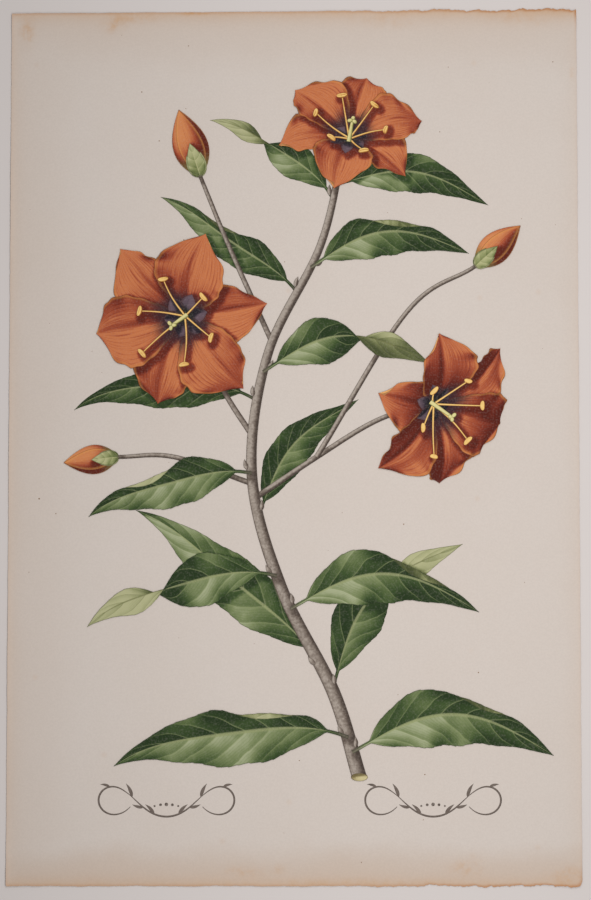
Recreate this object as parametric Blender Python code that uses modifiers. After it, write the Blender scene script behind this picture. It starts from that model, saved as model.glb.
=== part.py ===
# A botanical print: one sheet of heavy wove paper with deckle edges, face up, and the thin films of ink
# on it that make the picture of a flowering branch with two small ornaments under it.
# Metres, +Z up. +Y points to the top of the picture. The origin is under the middle of the sheet.

import math
import bpy
import bmesh
from mathutils import Vector

MM = 0.001
TURN = 2 * math.pi

# The sheet
SHEET_WIDTH = 354 * MM
SHEET_LENGTH = 540 * MM
PAPER_THICKNESS = 0.3 * MM
CORNER_RADIUS = 3 * MM
EDGE_SPACING = 5 * MM
DECKLE = 0.8 * MM
DECKLE_DEPTH = 6 * MM
LIFTED_BAND = 4 * MM
EDGE_LIFT = 0.8 * MM
CORNER_LIFT = 0.4 * MM
CORNER_REACH = 30 * MM

# The films of ink, in levels that lie on each other with the lowest on the paper
FILM = 0.05 * MM
FILM_GAP = 0.02 * MM
LEVEL_BLOOM_TWIGS = 3
LEVEL_BUD_TWIGS = 4
LEVEL_STEM = 5
LEVEL_BUDS = 8
LEVEL_BLOOMS = 9

# The flowering branch, from its cut end up, in millimetres from the sheet's middle and lower edge
STEM_PATH = [(40, 66), (24, 118), (-8, 182), (-26, 252), (-16, 326), (16, 392), (30, 448)]
STEM_ROOT_WIDTH = 9.0
STEM_TIP_WIDTH = 4.0
CUT_RADII = (5.2, 2.4)
TWIG_WIDTH = 3.0

# Leaves: place on the stem, heading and bend in degrees, length, half width, roll at root and tip, level
LEAVES = [
    (0.05, 30, -62, 134, 19, 8, 16, 6),
    (0.08, 158, 58, 148, 20, -10, -30, 7),
    (0.17, 74, -52, 128, 17, 14, 150, 1),
    (0.21, 120, 40, 150, 18, -16, -34, 2),
    (0.30, 30, -62, 126, 18, 6, 34, 6),
    (0.35, 164, 62, 124, 17, -4, -156, 7),
    (0.44, 66, -34, 98, 13, 20, 34, 0),
    (0.50, 168, 54, 106, 15, -12, -24, 6),
    (0.60, 146, 74, 118, 15, -20, -44, 1),
    (0.64, 34, -62, 112, 16, 10, 158, 7),
    (0.76, 128, 34, 104, 13, -20, -34, 2),
    (0.80, 34, -58, 106, 15, 10, 28, 6),
    (0.92, 116, 62, 94, 12, -10, -150, 1),
    (0.95, 14, -44, 100, 13, 10, 34, 2),
]
# A leaf's halves fold up by this much on the whole, and it rolls between these shares of its length
LEAF_FOLD = 11
ROLL_STRETCH = (0.30, 0.85)

# Blooms: centre, petal length, turn, way the flower faces and how far it leans that way in degrees
BLOOMS = [
    ((-66, 350), 58, 12, 215, 24),
    ((84, 296), 54, 40, -35, 46),
    ((34, 458), 47, 75, 80, 40),
]
BLOOM_TWIGS = [
    [(-25, 274), (-44, 304), (-66, 350)],
    [(-25, 236), (14, 262), (50, 284), (84, 296)],
    [(30, 444), (32, 452), (34, 458)],
]
OUTER_PETAL_HALF_WIDTH = 0.33
INNER_PETAL_HALF_WIDTH = 0.40
PETAL_RISE = 0.30
HEART_RADIUS = 0.20
STAMEN_LENGTH = 0.46
ANTHER_HALF_LENGTH = 3.4
ANTHER_HALF_WIDTH = 1.5

# Buds: route of the twig, heading in degrees, length and half width
BUDS = [
    ([(-14, 334), (-40, 392), (-58, 436)], 108, 44, 11),
    ([(14, 262), (70, 352), (112, 380)], 42, 38, 9.5),
    ([(-27, 246), (-74, 262), (-108, 262)], 186, 34, 9),
]

SEPAL_LENGTH = 0.5
SEPAL_WIDTH = 0.55

# The two ornaments that stand under the picture
ORNAMENTS = [(-78, 42), (85, 42)]
ORNAMENT_REACH = 50.0
STROKE_WIDTH = 1.3

PAPER_COLOUR = (0.60, 0.52, 0.44)
GREEN_COLOUR = (0.085, 0.135, 0.050)
PALE_GREEN_COLOUR = (0.20, 0.24, 0.11)
PETAL_COLOUR = (0.48, 0.12, 0.045)
DEEP_PETAL_COLOUR = (0.30, 0.060, 0.028)
HEART_COLOUR = (0.035, 0.025, 0.035)
STAMEN_COLOUR = (0.75, 0.42, 0.09)
STEM_COLOUR = (0.24, 0.18, 0.15)
CUT_COLOUR = (0.40, 0.36, 0.20)
STROKE_COLOUR = (0.35, 0.30, 0.26)


def ink_material(name, colour, roughness=0.75):
    found = bpy.data.materials.get(name)
    if found:
        return found
    made = bpy.data.materials.new(name)
    made.use_nodes = True
    shader = made.node_tree.nodes["Principled BSDF"]
    shader.inputs["Base Color"].default_value = (*colour, 1.0)
    shader.inputs["Roughness"].default_value = roughness
    shader.inputs["Metallic"].default_value = 0.0
    return made


def level_height(level):
    return PAPER_THICKNESS + FILM_GAP + level * (FILM + FILM_GAP) + FILM / 2


# A smooth route through a few points, as a Catmull-Rom curve
def smooth_path(points, steps_each=8):
    given = [Vector(p) for p in points]
    ends = [given[0] * 2 - given[1]] + given + [given[-1] * 2 - given[-2]]
    path = []
    for i in range(1, len(ends) - 2):
        a, b, c, d = ends[i - 1 : i + 3]
        for step in range(steps_each):
            t = step / steps_each
            bend = 2 * a - 5 * b + 4 * c - d
            twist = 3 * b - a - 3 * c + d
            path.append(0.5 * (2 * b + (c - a) * t + bend * t**2 + twist * t**3))
    path.append(given[-1])
    return path


def point_on(path, share):
    place = share * (len(path) - 1)
    first = min(int(place), len(path) - 2)
    return path[first].lerp(path[first + 1], place - first)


# The outline of a stroke that runs along a path with a half width for each share of its length
def stroke_outline(path, half_width):
    left = []
    right = []
    last = len(path) - 1
    for i, point in enumerate(path):
        along = (path[min(i + 1, last)] - path[max(i - 1, 0)]).normalized()
        across = Vector((-along.y, along.x)) * half_width(i / last)
        left.append(point + across)
        right.append(point - across)
    return left + right[::-1]


def leaf_profile(share):
    blade = max(0.0, (share - 0.09) / 0.91)
    return math.sin(math.pi * blade**0.76) ** 1.08 * (1 + 0.04 * math.sin(TURN * 4.5 * blade))


def ease(share, start, end):
    held = min(1.0, max(0.0, (share - start) / (end - start)))
    return held * held * (3 - 2 * held)


# The outline of a leaf seen from above, which narrows where the leaf rolls over to show its underside
def leaf_outline(root, heading, bend, length, half_width, roll_root, roll_tip, steps=26):
    point = Vector(root)
    left = []
    right = []
    for i in range(steps + 1):
        share = i / steps
        angle = math.radians(heading + bend * share + 9 * math.sin(TURN * share))
        across = Vector((-math.sin(angle), math.cos(angle)))
        roll = roll_root + (roll_tip - roll_root) * ease(share, *ROLL_STRETCH)
        stalk = 1.1 * (1 - 0.9 * share)
        half = half_width * leaf_profile(share) if i < steps else 0.0
        one = half * math.cos(math.radians(LEAF_FOLD + roll))
        other = -half * math.cos(math.radians(LEAF_FOLD - roll))
        left.append(point + across * max(stalk, one, other))
        right.append(point + across * min(-stalk, one, other))
        middle = share + 0.5 / steps
        ahead = math.radians(heading + bend * middle + 9 * math.sin(TURN * middle))
        point = point + Vector((math.cos(ahead), math.sin(ahead))) * (length / steps)
    return left + right[::-1]


# A point of a bloom: along and across its petal and up its axis, seen from above as the flower leans
def bloom_point(bloom, petal_angle, along, across, rise):
    (x, y), _, _, facing, lean = bloom
    angle = math.radians(petal_angle)
    outward = Vector((math.cos(angle), math.sin(angle)))
    flat = outward * along + Vector((-outward.y, outward.x)) * across
    way = Vector((math.cos(math.radians(facing)), math.sin(math.radians(facing))))
    side = Vector((-way.y, way.x))
    tilt = math.radians(lean)
    forward = flat.dot(way) * math.cos(tilt) + rise * math.sin(tilt)
    return Vector((x, y)) + way * forward + side * flat.dot(side)


def petal_outline(bloom, number, half_width, steps=16):
    length = bloom[1]
    angle = bloom[2] + number * 60
    left = []
    right = []
    for i in range(steps + 1):
        share = i / steps
        half = length * half_width * math.sin(math.pi * share**1.3) ** 0.72 if 0 < i < steps else 0.35
        rise = length * PETAL_RISE * math.sin(math.pi * 0.8 * share**0.85)
        left.append(bloom_point(bloom, angle, length * share, half, rise))
        right.append(bloom_point(bloom, angle, length * share, -half, rise))
    return left + right[::-1]


def heart_outline(bloom, steps=48):
    length = bloom[1]
    points = []
    for i in range(steps):
        angle = TURN * i / steps
        reach = length * HEART_RADIUS * (1 + 0.28 * math.cos(6 * (angle - math.radians(bloom[2]))))
        points.append(bloom_point(bloom, math.degrees(angle), reach, 0, length * 0.1))
    return points


def stamen_outline(bloom, stamens=6, sides=8):
    length = bloom[1]
    points = []
    for number in range(stamens):
        angle = bloom[2] + 30 + number * 60
        reach = length * STAMEN_LENGTH * (1 + 0.12 * math.sin(number * 2.4))
        rise = length * 0.42
        points.append(bloom_point(bloom, angle, 2.2, -0.55, rise * 0.2))
        for side in range(sides + 1):
            turn = -0.85 * math.pi + 1.7 * math.pi * side / sides
            along = reach + ANTHER_HALF_WIDTH * math.cos(turn)
            points.append(bloom_point(bloom, angle, along, ANTHER_HALF_LENGTH * math.sin(turn), rise))
        points.append(bloom_point(bloom, angle, 2.2, 0.55, rise * 0.2))
    return points


# A straight pointed blade, widest nearer its root the smaller the power
def straight_blade(root, heading, length, half_width, power, steps=16):
    angle = math.radians(heading)
    along = Vector((math.cos(angle), math.sin(angle)))
    path = [Vector(root) + along * (length * i / steps) for i in range(steps + 1)]
    return stroke_outline(path, lambda s: max(0.3, half_width * math.sin(math.pi * s**power) ** 0.9))


# Half of an ornament: a stroke that swings out from the middle and rolls up in a scroll
def scroll_path(reach, steps=40):
    point = Vector((0, 0))
    path = []
    for i in range(steps + 1):
        share = i / steps
        path.append(point.copy())
        angle = 0.75 * math.sin(TURN * share * 0.9) - 7.4 * max(0.0, share - 0.42) ** 1.35
        point = point + Vector((math.cos(angle), math.sin(angle))) * (reach * 1.55 / steps)
    return path


def ornament_outline(centre):
    half = scroll_path(ORNAMENT_REACH)
    whole = [Vector((-p.x, p.y)) for p in half[:0:-1]] + half
    place = Vector(centre)
    path = [place + p for p in whole]
    return stroke_outline(path, lambda s: STROKE_WIDTH / 2 * (0.45 + 0.85 * abs(math.sin(3 * math.pi * s))))


# A flat film of ink with the given outline, in millimetres
def film(name, outline, level, material, collection):
    curve = bpy.data.curves.new(name, "CURVE")
    curve.dimensions = "2D"
    curve.fill_mode = "BOTH"
    curve.extrude = FILM / 2
    spline = curve.splines.new("POLY")
    spline.points.add(len(outline) - 1)
    for place, point in zip(spline.points, outline):
        place.co = (point.x * MM, point.y * MM - SHEET_LENGTH / 2, 0.0, 1.0)
    spline.use_cyclic_u = True
    curve.materials.append(material)
    piece = bpy.data.objects.new(name, curve)
    piece.location.z = level_height(level)
    collection.objects.link(piece)
    return piece


# A curve as a closed mesh whose caps are welded to its rim
def as_mesh(piece):
    bpy.context.view_layer.update()
    evaluated = piece.evaluated_get(bpy.context.evaluated_depsgraph_get())
    mesh = bpy.data.meshes.new_from_object(evaluated)
    welding = bmesh.new()
    welding.from_mesh(mesh)
    bmesh.ops.remove_doubles(welding, verts=welding.verts, dist=0.002 * MM)
    welding.to_mesh(mesh)
    welding.free()
    made = bpy.data.objects.new(piece.name + "_mesh", mesh)
    made.matrix_world = piece.matrix_world
    for home in piece.users_collection:
        home.objects.link(made)
    name = piece.name
    bpy.data.objects.remove(piece)
    made.name = name
    return made


# Several outlines joined into one film
def joined_film(name, outlines, level, material, collection):
    joining = bpy.data.collections.new("joining")
    bpy.context.scene.collection.children.link(joining)
    first = as_mesh(film(name, outlines[0], level, material, collection))
    for number, outline in enumerate(outlines[1:]):
        as_mesh(film(f"{name}_{number}", outline, level, material, joining))
    union = first.modifiers.new("Union", "BOOLEAN")
    union.operation = "UNION"
    union.operand_type = "COLLECTION"
    union.collection = joining
    union.solver = "EXACT"
    bpy.context.view_layer.update()
    whole = bpy.data.meshes.new_from_object(first.evaluated_get(bpy.context.evaluated_depsgraph_get()))
    first.modifiers.clear()
    first.data = whole
    for piece in list(joining.objects):
        bpy.data.objects.remove(piece)
    bpy.data.collections.remove(joining)
    return first


# Half the deckle's depth at a distance round the sheet, from waves of unlike lengths
def deckle_at(distance):
    waves = [(61 * MM, 0.42, 0.3), (23 * MM, 0.30, 1.9), (13.7 * MM, 0.22, 4.1), (9.1 * MM, 0.16, 2.6)]
    return DECKLE * sum(share * math.sin(TURN * distance / long + phase) for long, share, phase in waves)


# A point of the sheet's plain edge at a distance round it, with the way that faces out there
def edge_point(distance):
    half = (SHEET_WIDTH / 2 - DECKLE, SHEET_LENGTH / 2 - DECKLE)
    quarter = math.pi / 2 * CORNER_RADIUS
    for side in range(4):
        turn = side * math.pi / 2
        out = Vector((math.cos(turn), math.sin(turn)))
        along = Vector((-out.y, out.x))
        straight = 2 * (half[1 - side % 2] - CORNER_RADIUS)
        corner = out * half[side % 2] + along * half[1 - side % 2]
        if distance <= straight:
            return corner - along * (CORNER_RADIUS + straight - distance), out
        distance -= straight
        if distance <= quarter:
            outward = out * math.cos(distance / CORNER_RADIUS) + along * math.sin(distance / CORNER_RADIUS)
            return corner - (out + along) * CORNER_RADIUS + outward * CORNER_RADIUS, outward
        distance -= quarter
    return edge_point(0.0)


# The sheet's outline drawn in by a distance: the deckle fades out a few millimetres inside the edge
def edge_ring(inset, count):
    around = 2 * (SHEET_WIDTH + SHEET_LENGTH) - 8 * DECKLE + (2 * math.pi - 8) * CORNER_RADIUS
    ring = []
    for i in range(count):
        distance = around * i / count
        point, outward = edge_point(distance)
        shrunk = Vector((point.x * (1 - 2 * inset / SHEET_WIDTH), point.y * (1 - 2 * inset / SHEET_LENGTH)))
        ring.append(shrunk + outward * deckle_at(distance) * max(0.0, 1 - inset / DECKLE_DEPTH))
    return ring


# How high the sheet stands off its support: only the outer band lifts, most at the corners
def lift_at(point, inset):
    wave = 0.8 + 0.2 * math.sin(TURN * (point.x / (190 * MM) + point.y / (143 * MM)) + 0.8)
    to_corner = math.hypot(SHEET_WIDTH / 2 - abs(point.x), SHEET_LENGTH / 2 - abs(point.y))
    near_corner = max(0.0, 1 - to_corner / CORNER_REACH)
    return (1 - inset / LIFTED_BAND) ** 2 * (EDGE_LIFT * wave + CORNER_LIFT * near_corner**2)


# The flat middle that the sheet lies on: a true rectangle with a point at each of its corners
def flat_ring(around):
    half = (SHEET_WIDTH / 2 - LIFTED_BAND, SHEET_LENGTH / 2 - LIFTED_BAND)
    ring = []
    for point in around:
        if abs(point.x) * half[1] > abs(point.y) * half[0]:
            ring.append(Vector((math.copysign(half[0], point.x), point.y * half[0] / abs(point.x))))
        else:
            ring.append(Vector((point.x * half[1] / abs(point.y), math.copysign(half[1], point.y))))
    for x_side in (-1, 1):
        for y_side in (-1, 1):
            corner = Vector((x_side * half[0], y_side * half[1]))
            nearest = min(range(len(ring)), key=lambda i: (ring[i] - corner).length)
            ring[nearest] = corner
    return ring


def build_sheet(collection):
    count = round(2 * (SHEET_WIDTH + SHEET_LENGTH) / EDGE_SPACING)
    mesh = bpy.data.meshes.new("sheet")
    shape = bmesh.new()
    outline = edge_ring(0.0, count)
    rings = []
    for inset in (0.0, LIFTED_BAND / 2):
        ring = edge_ring(inset, count)
        rings.append([shape.verts.new((point.x, point.y, lift_at(point, inset))) for point in ring])
    rings.append([shape.verts.new((point.x, point.y, 0.0)) for point in flat_ring(outline)])
    for outer, inner in zip(rings, rings[1:]):
        for i in range(count):
            after = (i + 1) % count
            shape.faces.new((outer[i], outer[after], inner[after], inner[i]))
    shape.faces.new(rings[-1])
    bmesh.ops.recalc_face_normals(shape, faces=shape.faces)
    if sum(face.normal.z for face in shape.faces) < 0:
        bmesh.ops.reverse_faces(shape, faces=shape.faces)
    shape.to_mesh(mesh)
    shape.free()
    mesh.materials.append(ink_material("wove_paper", PAPER_COLOUR, 0.85))
    sheet = bpy.data.objects.new("sheet", mesh)
    collection.objects.link(sheet)
    thick = sheet.modifiers.new("Thickness", "SOLIDIFY")
    thick.thickness = PAPER_THICKNESS
    thick.offset = 1.0
    return sheet


def build_branch(collection, stem):
    bark = ink_material("brown_ink", STEM_COLOUR)
    outline = stroke_outline(stem, lambda s: (STEM_ROOT_WIDTH + (STEM_TIP_WIDTH - STEM_ROOT_WIDTH) * s) / 2)
    film("ink_stem", outline, LEVEL_STEM, bark, collection)
    turns = [TURN * i / 20 for i in range(20)]
    cut = [stem[0] + Vector((CUT_RADII[0] * math.cos(turn), CUT_RADII[1] * math.sin(turn))) for turn in turns]
    film("ink_cut_end", cut, LEVEL_BUDS, ink_material("pale_ink", CUT_COLOUR), collection)


def build_leaves(collection, stem):
    green = ink_material("green_ink", GREEN_COLOUR)
    for number, (share, *shape, level) in enumerate(LEAVES, 1):
        outline = leaf_outline(point_on(stem, share), *shape)
        film(f"ink_leaf_{number:02d}", outline, level, green, collection)


def build_blooms(collection):
    outer_ink = ink_material("deep_red_ink", DEEP_PETAL_COLOUR)
    inner_ink = ink_material("orange_red_ink", PETAL_COLOUR)
    heart_ink = ink_material("violet_ink", HEART_COLOUR)
    stamen_ink = ink_material("yellow_ink", STAMEN_COLOUR)
    twig_ink = ink_material("brown_ink", STEM_COLOUR)
    for number, (bloom, route) in enumerate(zip(BLOOMS, BLOOM_TWIGS), 1):
        twig = stroke_outline(smooth_path(route, 6), lambda s: TWIG_WIDTH / 2 * (1.2 - 0.3 * s))
        film(f"ink_bloom_{number}_twig", twig, LEVEL_BLOOM_TWIGS, twig_ink, collection)
        outer = [petal_outline(bloom, petal, OUTER_PETAL_HALF_WIDTH) for petal in (0, 2, 4)]
        inner = [petal_outline(bloom, petal, INNER_PETAL_HALF_WIDTH) for petal in (1, 3, 5)]
        joined_film(f"ink_bloom_{number}_outer_petals", outer, LEVEL_BLOOMS, outer_ink, collection)
        joined_film(f"ink_bloom_{number}_inner_petals", inner, LEVEL_BLOOMS + 1, inner_ink, collection)
        film(f"ink_bloom_{number}_heart", heart_outline(bloom), LEVEL_BLOOMS + 2, heart_ink, collection)
        film(f"ink_bloom_{number}_stamens", stamen_outline(bloom), LEVEL_BLOOMS + 3, stamen_ink, collection)


def build_buds(collection):
    petal_ink = ink_material("orange_red_ink", PETAL_COLOUR)
    green = ink_material("pale_green_ink", PALE_GREEN_COLOUR)
    twig_ink = ink_material("brown_ink", STEM_COLOUR)
    for number, (route, heading, length, half_width) in enumerate(BUDS, 1):
        path = smooth_path(route, 8)
        twig = stroke_outline(path, lambda s: TWIG_WIDTH / 2 * (1.1 - 0.3 * s))
        film(f"ink_bud_{number}_twig", twig, LEVEL_BUD_TWIGS, twig_ink, collection)
        bud = straight_blade(path[-1], heading, length, half_width, 0.85)
        film(f"ink_bud_{number}", bud, LEVEL_BUDS, petal_ink, collection)
        sepal = straight_blade(path[-1], heading, length * SEPAL_LENGTH, half_width * SEPAL_WIDTH, 0.7)
        film(f"ink_bud_{number}_sepal", sepal, LEVEL_BUDS + 1, green, collection)


def build_ornaments(collection):
    ink = ink_material("grey_ink", STROKE_COLOUR)
    for name, centre in zip(("left", "right"), ORNAMENTS):
        film(f"ink_ornament_{name}", ornament_outline(centre), 0, ink, collection)


def build():
    for thing in list(bpy.data.objects):
        bpy.data.objects.remove(thing)
    collection = bpy.data.collections.new("botanical_print")
    bpy.context.scene.collection.children.link(collection)
    stem = smooth_path(STEM_PATH)
    build_sheet(collection)
    build_branch(collection, stem)
    build_leaves(collection, stem)
    build_blooms(collection)
    build_buds(collection)
    build_ornaments(collection)


build()
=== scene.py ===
import bpy
import math
import numpy as np
from mathutils import Matrix, Vector, kdtree


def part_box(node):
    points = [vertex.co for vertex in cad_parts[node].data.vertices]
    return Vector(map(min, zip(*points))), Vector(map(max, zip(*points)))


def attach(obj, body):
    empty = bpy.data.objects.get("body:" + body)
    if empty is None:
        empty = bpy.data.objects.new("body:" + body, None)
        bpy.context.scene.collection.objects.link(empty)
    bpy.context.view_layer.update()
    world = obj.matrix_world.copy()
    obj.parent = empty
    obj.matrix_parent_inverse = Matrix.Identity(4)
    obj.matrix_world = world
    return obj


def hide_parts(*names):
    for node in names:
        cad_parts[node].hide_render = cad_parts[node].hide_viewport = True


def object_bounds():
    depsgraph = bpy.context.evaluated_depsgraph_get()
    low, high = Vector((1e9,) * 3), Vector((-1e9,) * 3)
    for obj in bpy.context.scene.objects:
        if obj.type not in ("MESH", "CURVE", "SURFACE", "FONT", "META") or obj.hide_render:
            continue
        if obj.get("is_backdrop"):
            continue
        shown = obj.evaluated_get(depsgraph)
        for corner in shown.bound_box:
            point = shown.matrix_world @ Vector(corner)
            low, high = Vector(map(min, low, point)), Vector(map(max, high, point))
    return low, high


# An old colour-printed flower plate on a loose sheet of deckle-edged paper, seen from straight above.
# The drawing is made of thin films of ink. Each leaf, petal and twig is a curved surface that is shaded
# as if it stood in the light, then pressed flat on the paper with its lit tone kept as an attribute.
# Sizes of the drawing are in millimetres from the sheet's middle and lower edge, the rest in metres.

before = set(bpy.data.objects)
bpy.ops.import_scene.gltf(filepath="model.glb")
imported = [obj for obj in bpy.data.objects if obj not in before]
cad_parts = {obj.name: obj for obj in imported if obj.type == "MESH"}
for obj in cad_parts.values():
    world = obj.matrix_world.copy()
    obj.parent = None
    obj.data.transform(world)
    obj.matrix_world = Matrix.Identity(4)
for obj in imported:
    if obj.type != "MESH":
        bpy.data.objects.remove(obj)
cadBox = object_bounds()

mm = 0.001
fullTurn = 2 * math.pi
feltDepth = 0.0001
sheetLow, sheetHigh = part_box("sheet")
sheetWide = sheetHigh[0] - sheetLow[0]
sheetLong = sheetHigh[1] - sheetLow[1]


# Colours are named as the photograph shows them and stored as linear light
def tint(red, green, blue):
    channels = []
    for value in (red, green, blue):
        share = value / 255
        channels.append(share / 12.92 if share <= 0.04045 else ((share + 0.055) / 1.055) ** 2.4)
    return (*channels, 1.0)


def ease(value, low, high):
    share = np.clip((value - low) / (high - low), 0.0, 1.0)
    return share * share * (3 - 2 * share)


def addNode(tree, kind, settings=None, inputs=None):
    node = tree.nodes.new(kind)
    for key, value in (settings or {}).items():
        setattr(node, key, value)
    for key, value in (inputs or {}).items():
        if isinstance(value, bpy.types.NodeSocket):
            tree.links.new(value, node.inputs[key])
        else:
            node.inputs[key].default_value = value
    return node


def calc(tree, operation, *values, clamp=False):
    settings = {"operation": operation, "use_clamp": clamp}
    return addNode(tree, "ShaderNodeMath", settings, dict(enumerate(values))).outputs[0]


def largest(tree, first, *others):
    for value in others:
        first = calc(tree, "MAXIMUM", first, value)
    return first


def stepBetween(tree, value, low, high, start=0.0, end=1.0):
    settings = {"interpolation_type": "SMOOTHSTEP"}
    inputs = {"Value": value, "From Min": low, "From Max": high, "To Min": start, "To Max": end}
    return addNode(tree, "ShaderNodeMapRange", settings, inputs).outputs["Result"]


def mixColour(tree, share, first, second, blend="MIX"):
    settings = {"data_type": "RGBA", "blend_type": blend}
    return addNode(tree, "ShaderNodeMix", settings, {0: share, 6: first, 7: second}).outputs[2]


# Lays a named colour over another one, as far as a mask and its strength say
def overlay(tree, colour, added, mask, strength=None):
    share = mask if strength is None else calc(tree, "MULTIPLY", mask, strength)
    return mixColour(tree, share, colour, tint(*added))


def noise(tree, place, scale, detail=3.0, roughness=0.5):
    inputs = {"Vector": place, "Scale": scale, "Detail": detail, "Roughness": roughness}
    return addNode(tree, "ShaderNodeTexNoise", None, inputs).outputs[0]


def cellsAt(tree, place, scale):
    inputs = {"Vector": place, "Scale": scale}
    return addNode(tree, "ShaderNodeTexVoronoi", {"voronoi_dimensions": "2D"}, inputs).outputs


# A value between 0 and 1 as one that swings about nought, over the whole of the reach
def swing(tree, value, reach=1.0):
    return calc(tree, "MULTIPLY_ADD", value, reach, -reach / 2)


def combine(tree, x=0.0, y=0.0, z=0.0):
    return addNode(tree, "ShaderNodeCombineXYZ", None, {0: x, 1: y, 2: z}).outputs[0]


def split(tree, vector):
    return addNode(tree, "ShaderNodeSeparateXYZ", None, {0: vector}).outputs


def markOf(tree, name):
    return addNode(tree, "ShaderNodeAttribute", {"attribute_name": name}).outputs["Fac"]


def toneRamp(tree, value, stops):
    ramp = addNode(tree, "ShaderNodeValToRGB", None, {"Fac": value})
    elements = ramp.color_ramp.elements
    while len(elements) < len(stops):
        elements.new(0.5)
    for element, (place, colour) in zip(elements, stops):
        element.position = place
        element.color = tint(*colour)
    return ramp.outputs["Color"]


def newGroup(name, inputs, outputs):
    tree = bpy.data.node_groups.new(name, "ShaderNodeTree")
    for label, value in inputs.items():
        socket = tree.interface.new_socket(label, in_out="INPUT", socket_type="NodeSocketFloat")
        socket.default_value = value
    for label in outputs:
        tree.interface.new_socket(label, in_out="OUTPUT", socket_type="NodeSocketFloat")
    return tree, tree.nodes.new("NodeGroupInput").outputs, tree.nodes.new("NodeGroupOutput").inputs


def useGroup(tree, group, inputs=None):
    return addNode(tree, "ShaderNodeGroup", {"node_tree": group}, inputs).outputs


def objectPlace(tree):
    return addNode(tree, "ShaderNodeTexCoord").outputs["Object"]


def newMaterial(name, roughness=0.85, specular=0.14):
    material = bpy.data.materials.new(name)
    material.use_nodes = True
    shader = material.node_tree.nodes["Principled BSDF"]
    shader.inputs["Roughness"].default_value = roughness
    shader.inputs["Specular IOR Level"].default_value = specular
    return material, material.node_tree, shader


# Gives a shader its colour and the fine relief of the paper's felt
def paintWith(tree, shader, colour, height, strength):
    inputs = {"Strength": strength, "Distance": feltDepth, "Height": height}
    bump = addNode(tree, "ShaderNodeBump", None, inputs)
    tree.links.new(colour, shader.inputs["Base Color"])
    tree.links.new(bump.outputs[0], shader.inputs["Normal"])


def newObject(name, data):
    added = bpy.data.objects.new(name, data)
    bpy.context.scene.collection.objects.link(added)
    return added


def markPoints(mesh, name, values):
    attribute = mesh.attributes.new(name, "FLOAT", "POINT")
    attribute.data.foreach_set("value", values.astype(np.float32))


# Rag paper as noises of a scale, detail and roughness: slow clouds of tone, a fine fleck, felt grain
paperNoises = {"Cloud": (14.0, 4.0, 0.6), "Fleck": (900.0, 2.0, 0.5), "Height": (420.0, 3.0, 0.7)}


def paperGrainGroup():
    tree, _, out = newGroup("paperGrain", {}, paperNoises)
    for label, settings in paperNoises.items():
        tree.links.new(noise(tree, objectPlace(tree), *settings), out[label])
    return tree


# The dots' radius in full shade, as a share of the space between them
largestDot = 0.62


# Stipple: round dots that grow together as the tone falls
def stippleGroup():
    tree, given, out = newGroup("stipple", {"Tone": 0.5, "Dots per metre": 1500.0}, ("Dots",))
    away = cellsAt(tree, objectPlace(tree), given["Dots per metre"])["Distance"]
    radius = calc(tree, "MULTIPLY_ADD", given["Tone"], -largestDot, largestDot)
    edge = calc(tree, "SUBTRACT", radius, away)
    tree.links.new(stepBetween(tree, edge, -0.12, 0.12), out["Dots"])
    return tree


# Leaf veins: a midrib, side veins that lean to the tip, the swell of the blade between them, fine lines
def leafVeinGroup():
    inputs = {"Along": 0.0, "Across": 0.0, "Pairs": 9.0, "Lean": 0.17}
    tree, given, out = newGroup("leafVeins", inputs, ("Midrib", "Veins", "Swell", "Lines"))
    side = calc(tree, "ABSOLUTE", given["Across"])
    leaned = calc(tree, "MULTIPLY", calc(tree, "POWER", side, 1.25), given["Lean"])
    drift = swing(tree, noise(tree, objectPlace(tree), 60.0, 1.0), 0.05)
    start = calc(tree, "ADD", calc(tree, "SUBTRACT", given["Along"], leaned), drift)
    count = calc(tree, "MULTIPLY", start, given["Pairs"])
    share = calc(tree, "FRACT", count)
    away = calc(tree, "ABSOLUTE", calc(tree, "SUBTRACT", share, 0.5))
    fading = stepBetween(tree, side, 1.0, 0.55, 0.35, 1.0)
    tree.links.new(calc(tree, "MULTIPLY", stepBetween(tree, away, 0.44, 0.5), fading), out["Veins"])
    tree.links.new(stepBetween(tree, side, 0.085, 0.02), out["Midrib"])
    tree.links.new(calc(tree, "SUBTRACT", share, 0.5), out["Swell"])
    fine = calc(tree, "FRACT", calc(tree, "MULTIPLY", count, 6.0))
    finer = calc(tree, "ABSOLUTE", calc(tree, "SUBTRACT", fine, 0.5))
    tree.links.new(stepBetween(tree, finer, 0.30, 0.5), out["Lines"])
    return tree


# The dark line that the engraver runs along an edge, at a distance in millimetres, or along a fold
def contourGroup():
    tree, given, out = newGroup("contour", {"Edge": 1.0, "Width": 0.5, "Facing": 1.0}, ("Line",))
    rim = stepBetween(tree, calc(tree, "DIVIDE", given["Edge"], given["Width"]), 1.0, 0.4)
    fold = stepBetween(tree, given["Facing"], 0.22, 0.05)
    tree.links.new(calc(tree, "MAXIMUM", rim, fold), out["Line"])
    return tree


grainGroup = paperGrainGroup()
dotGroup = stippleGroup()
veinGroup = leafVeinGroup()
lineGroup = contourGroup()
print("shared effects ready")

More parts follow.
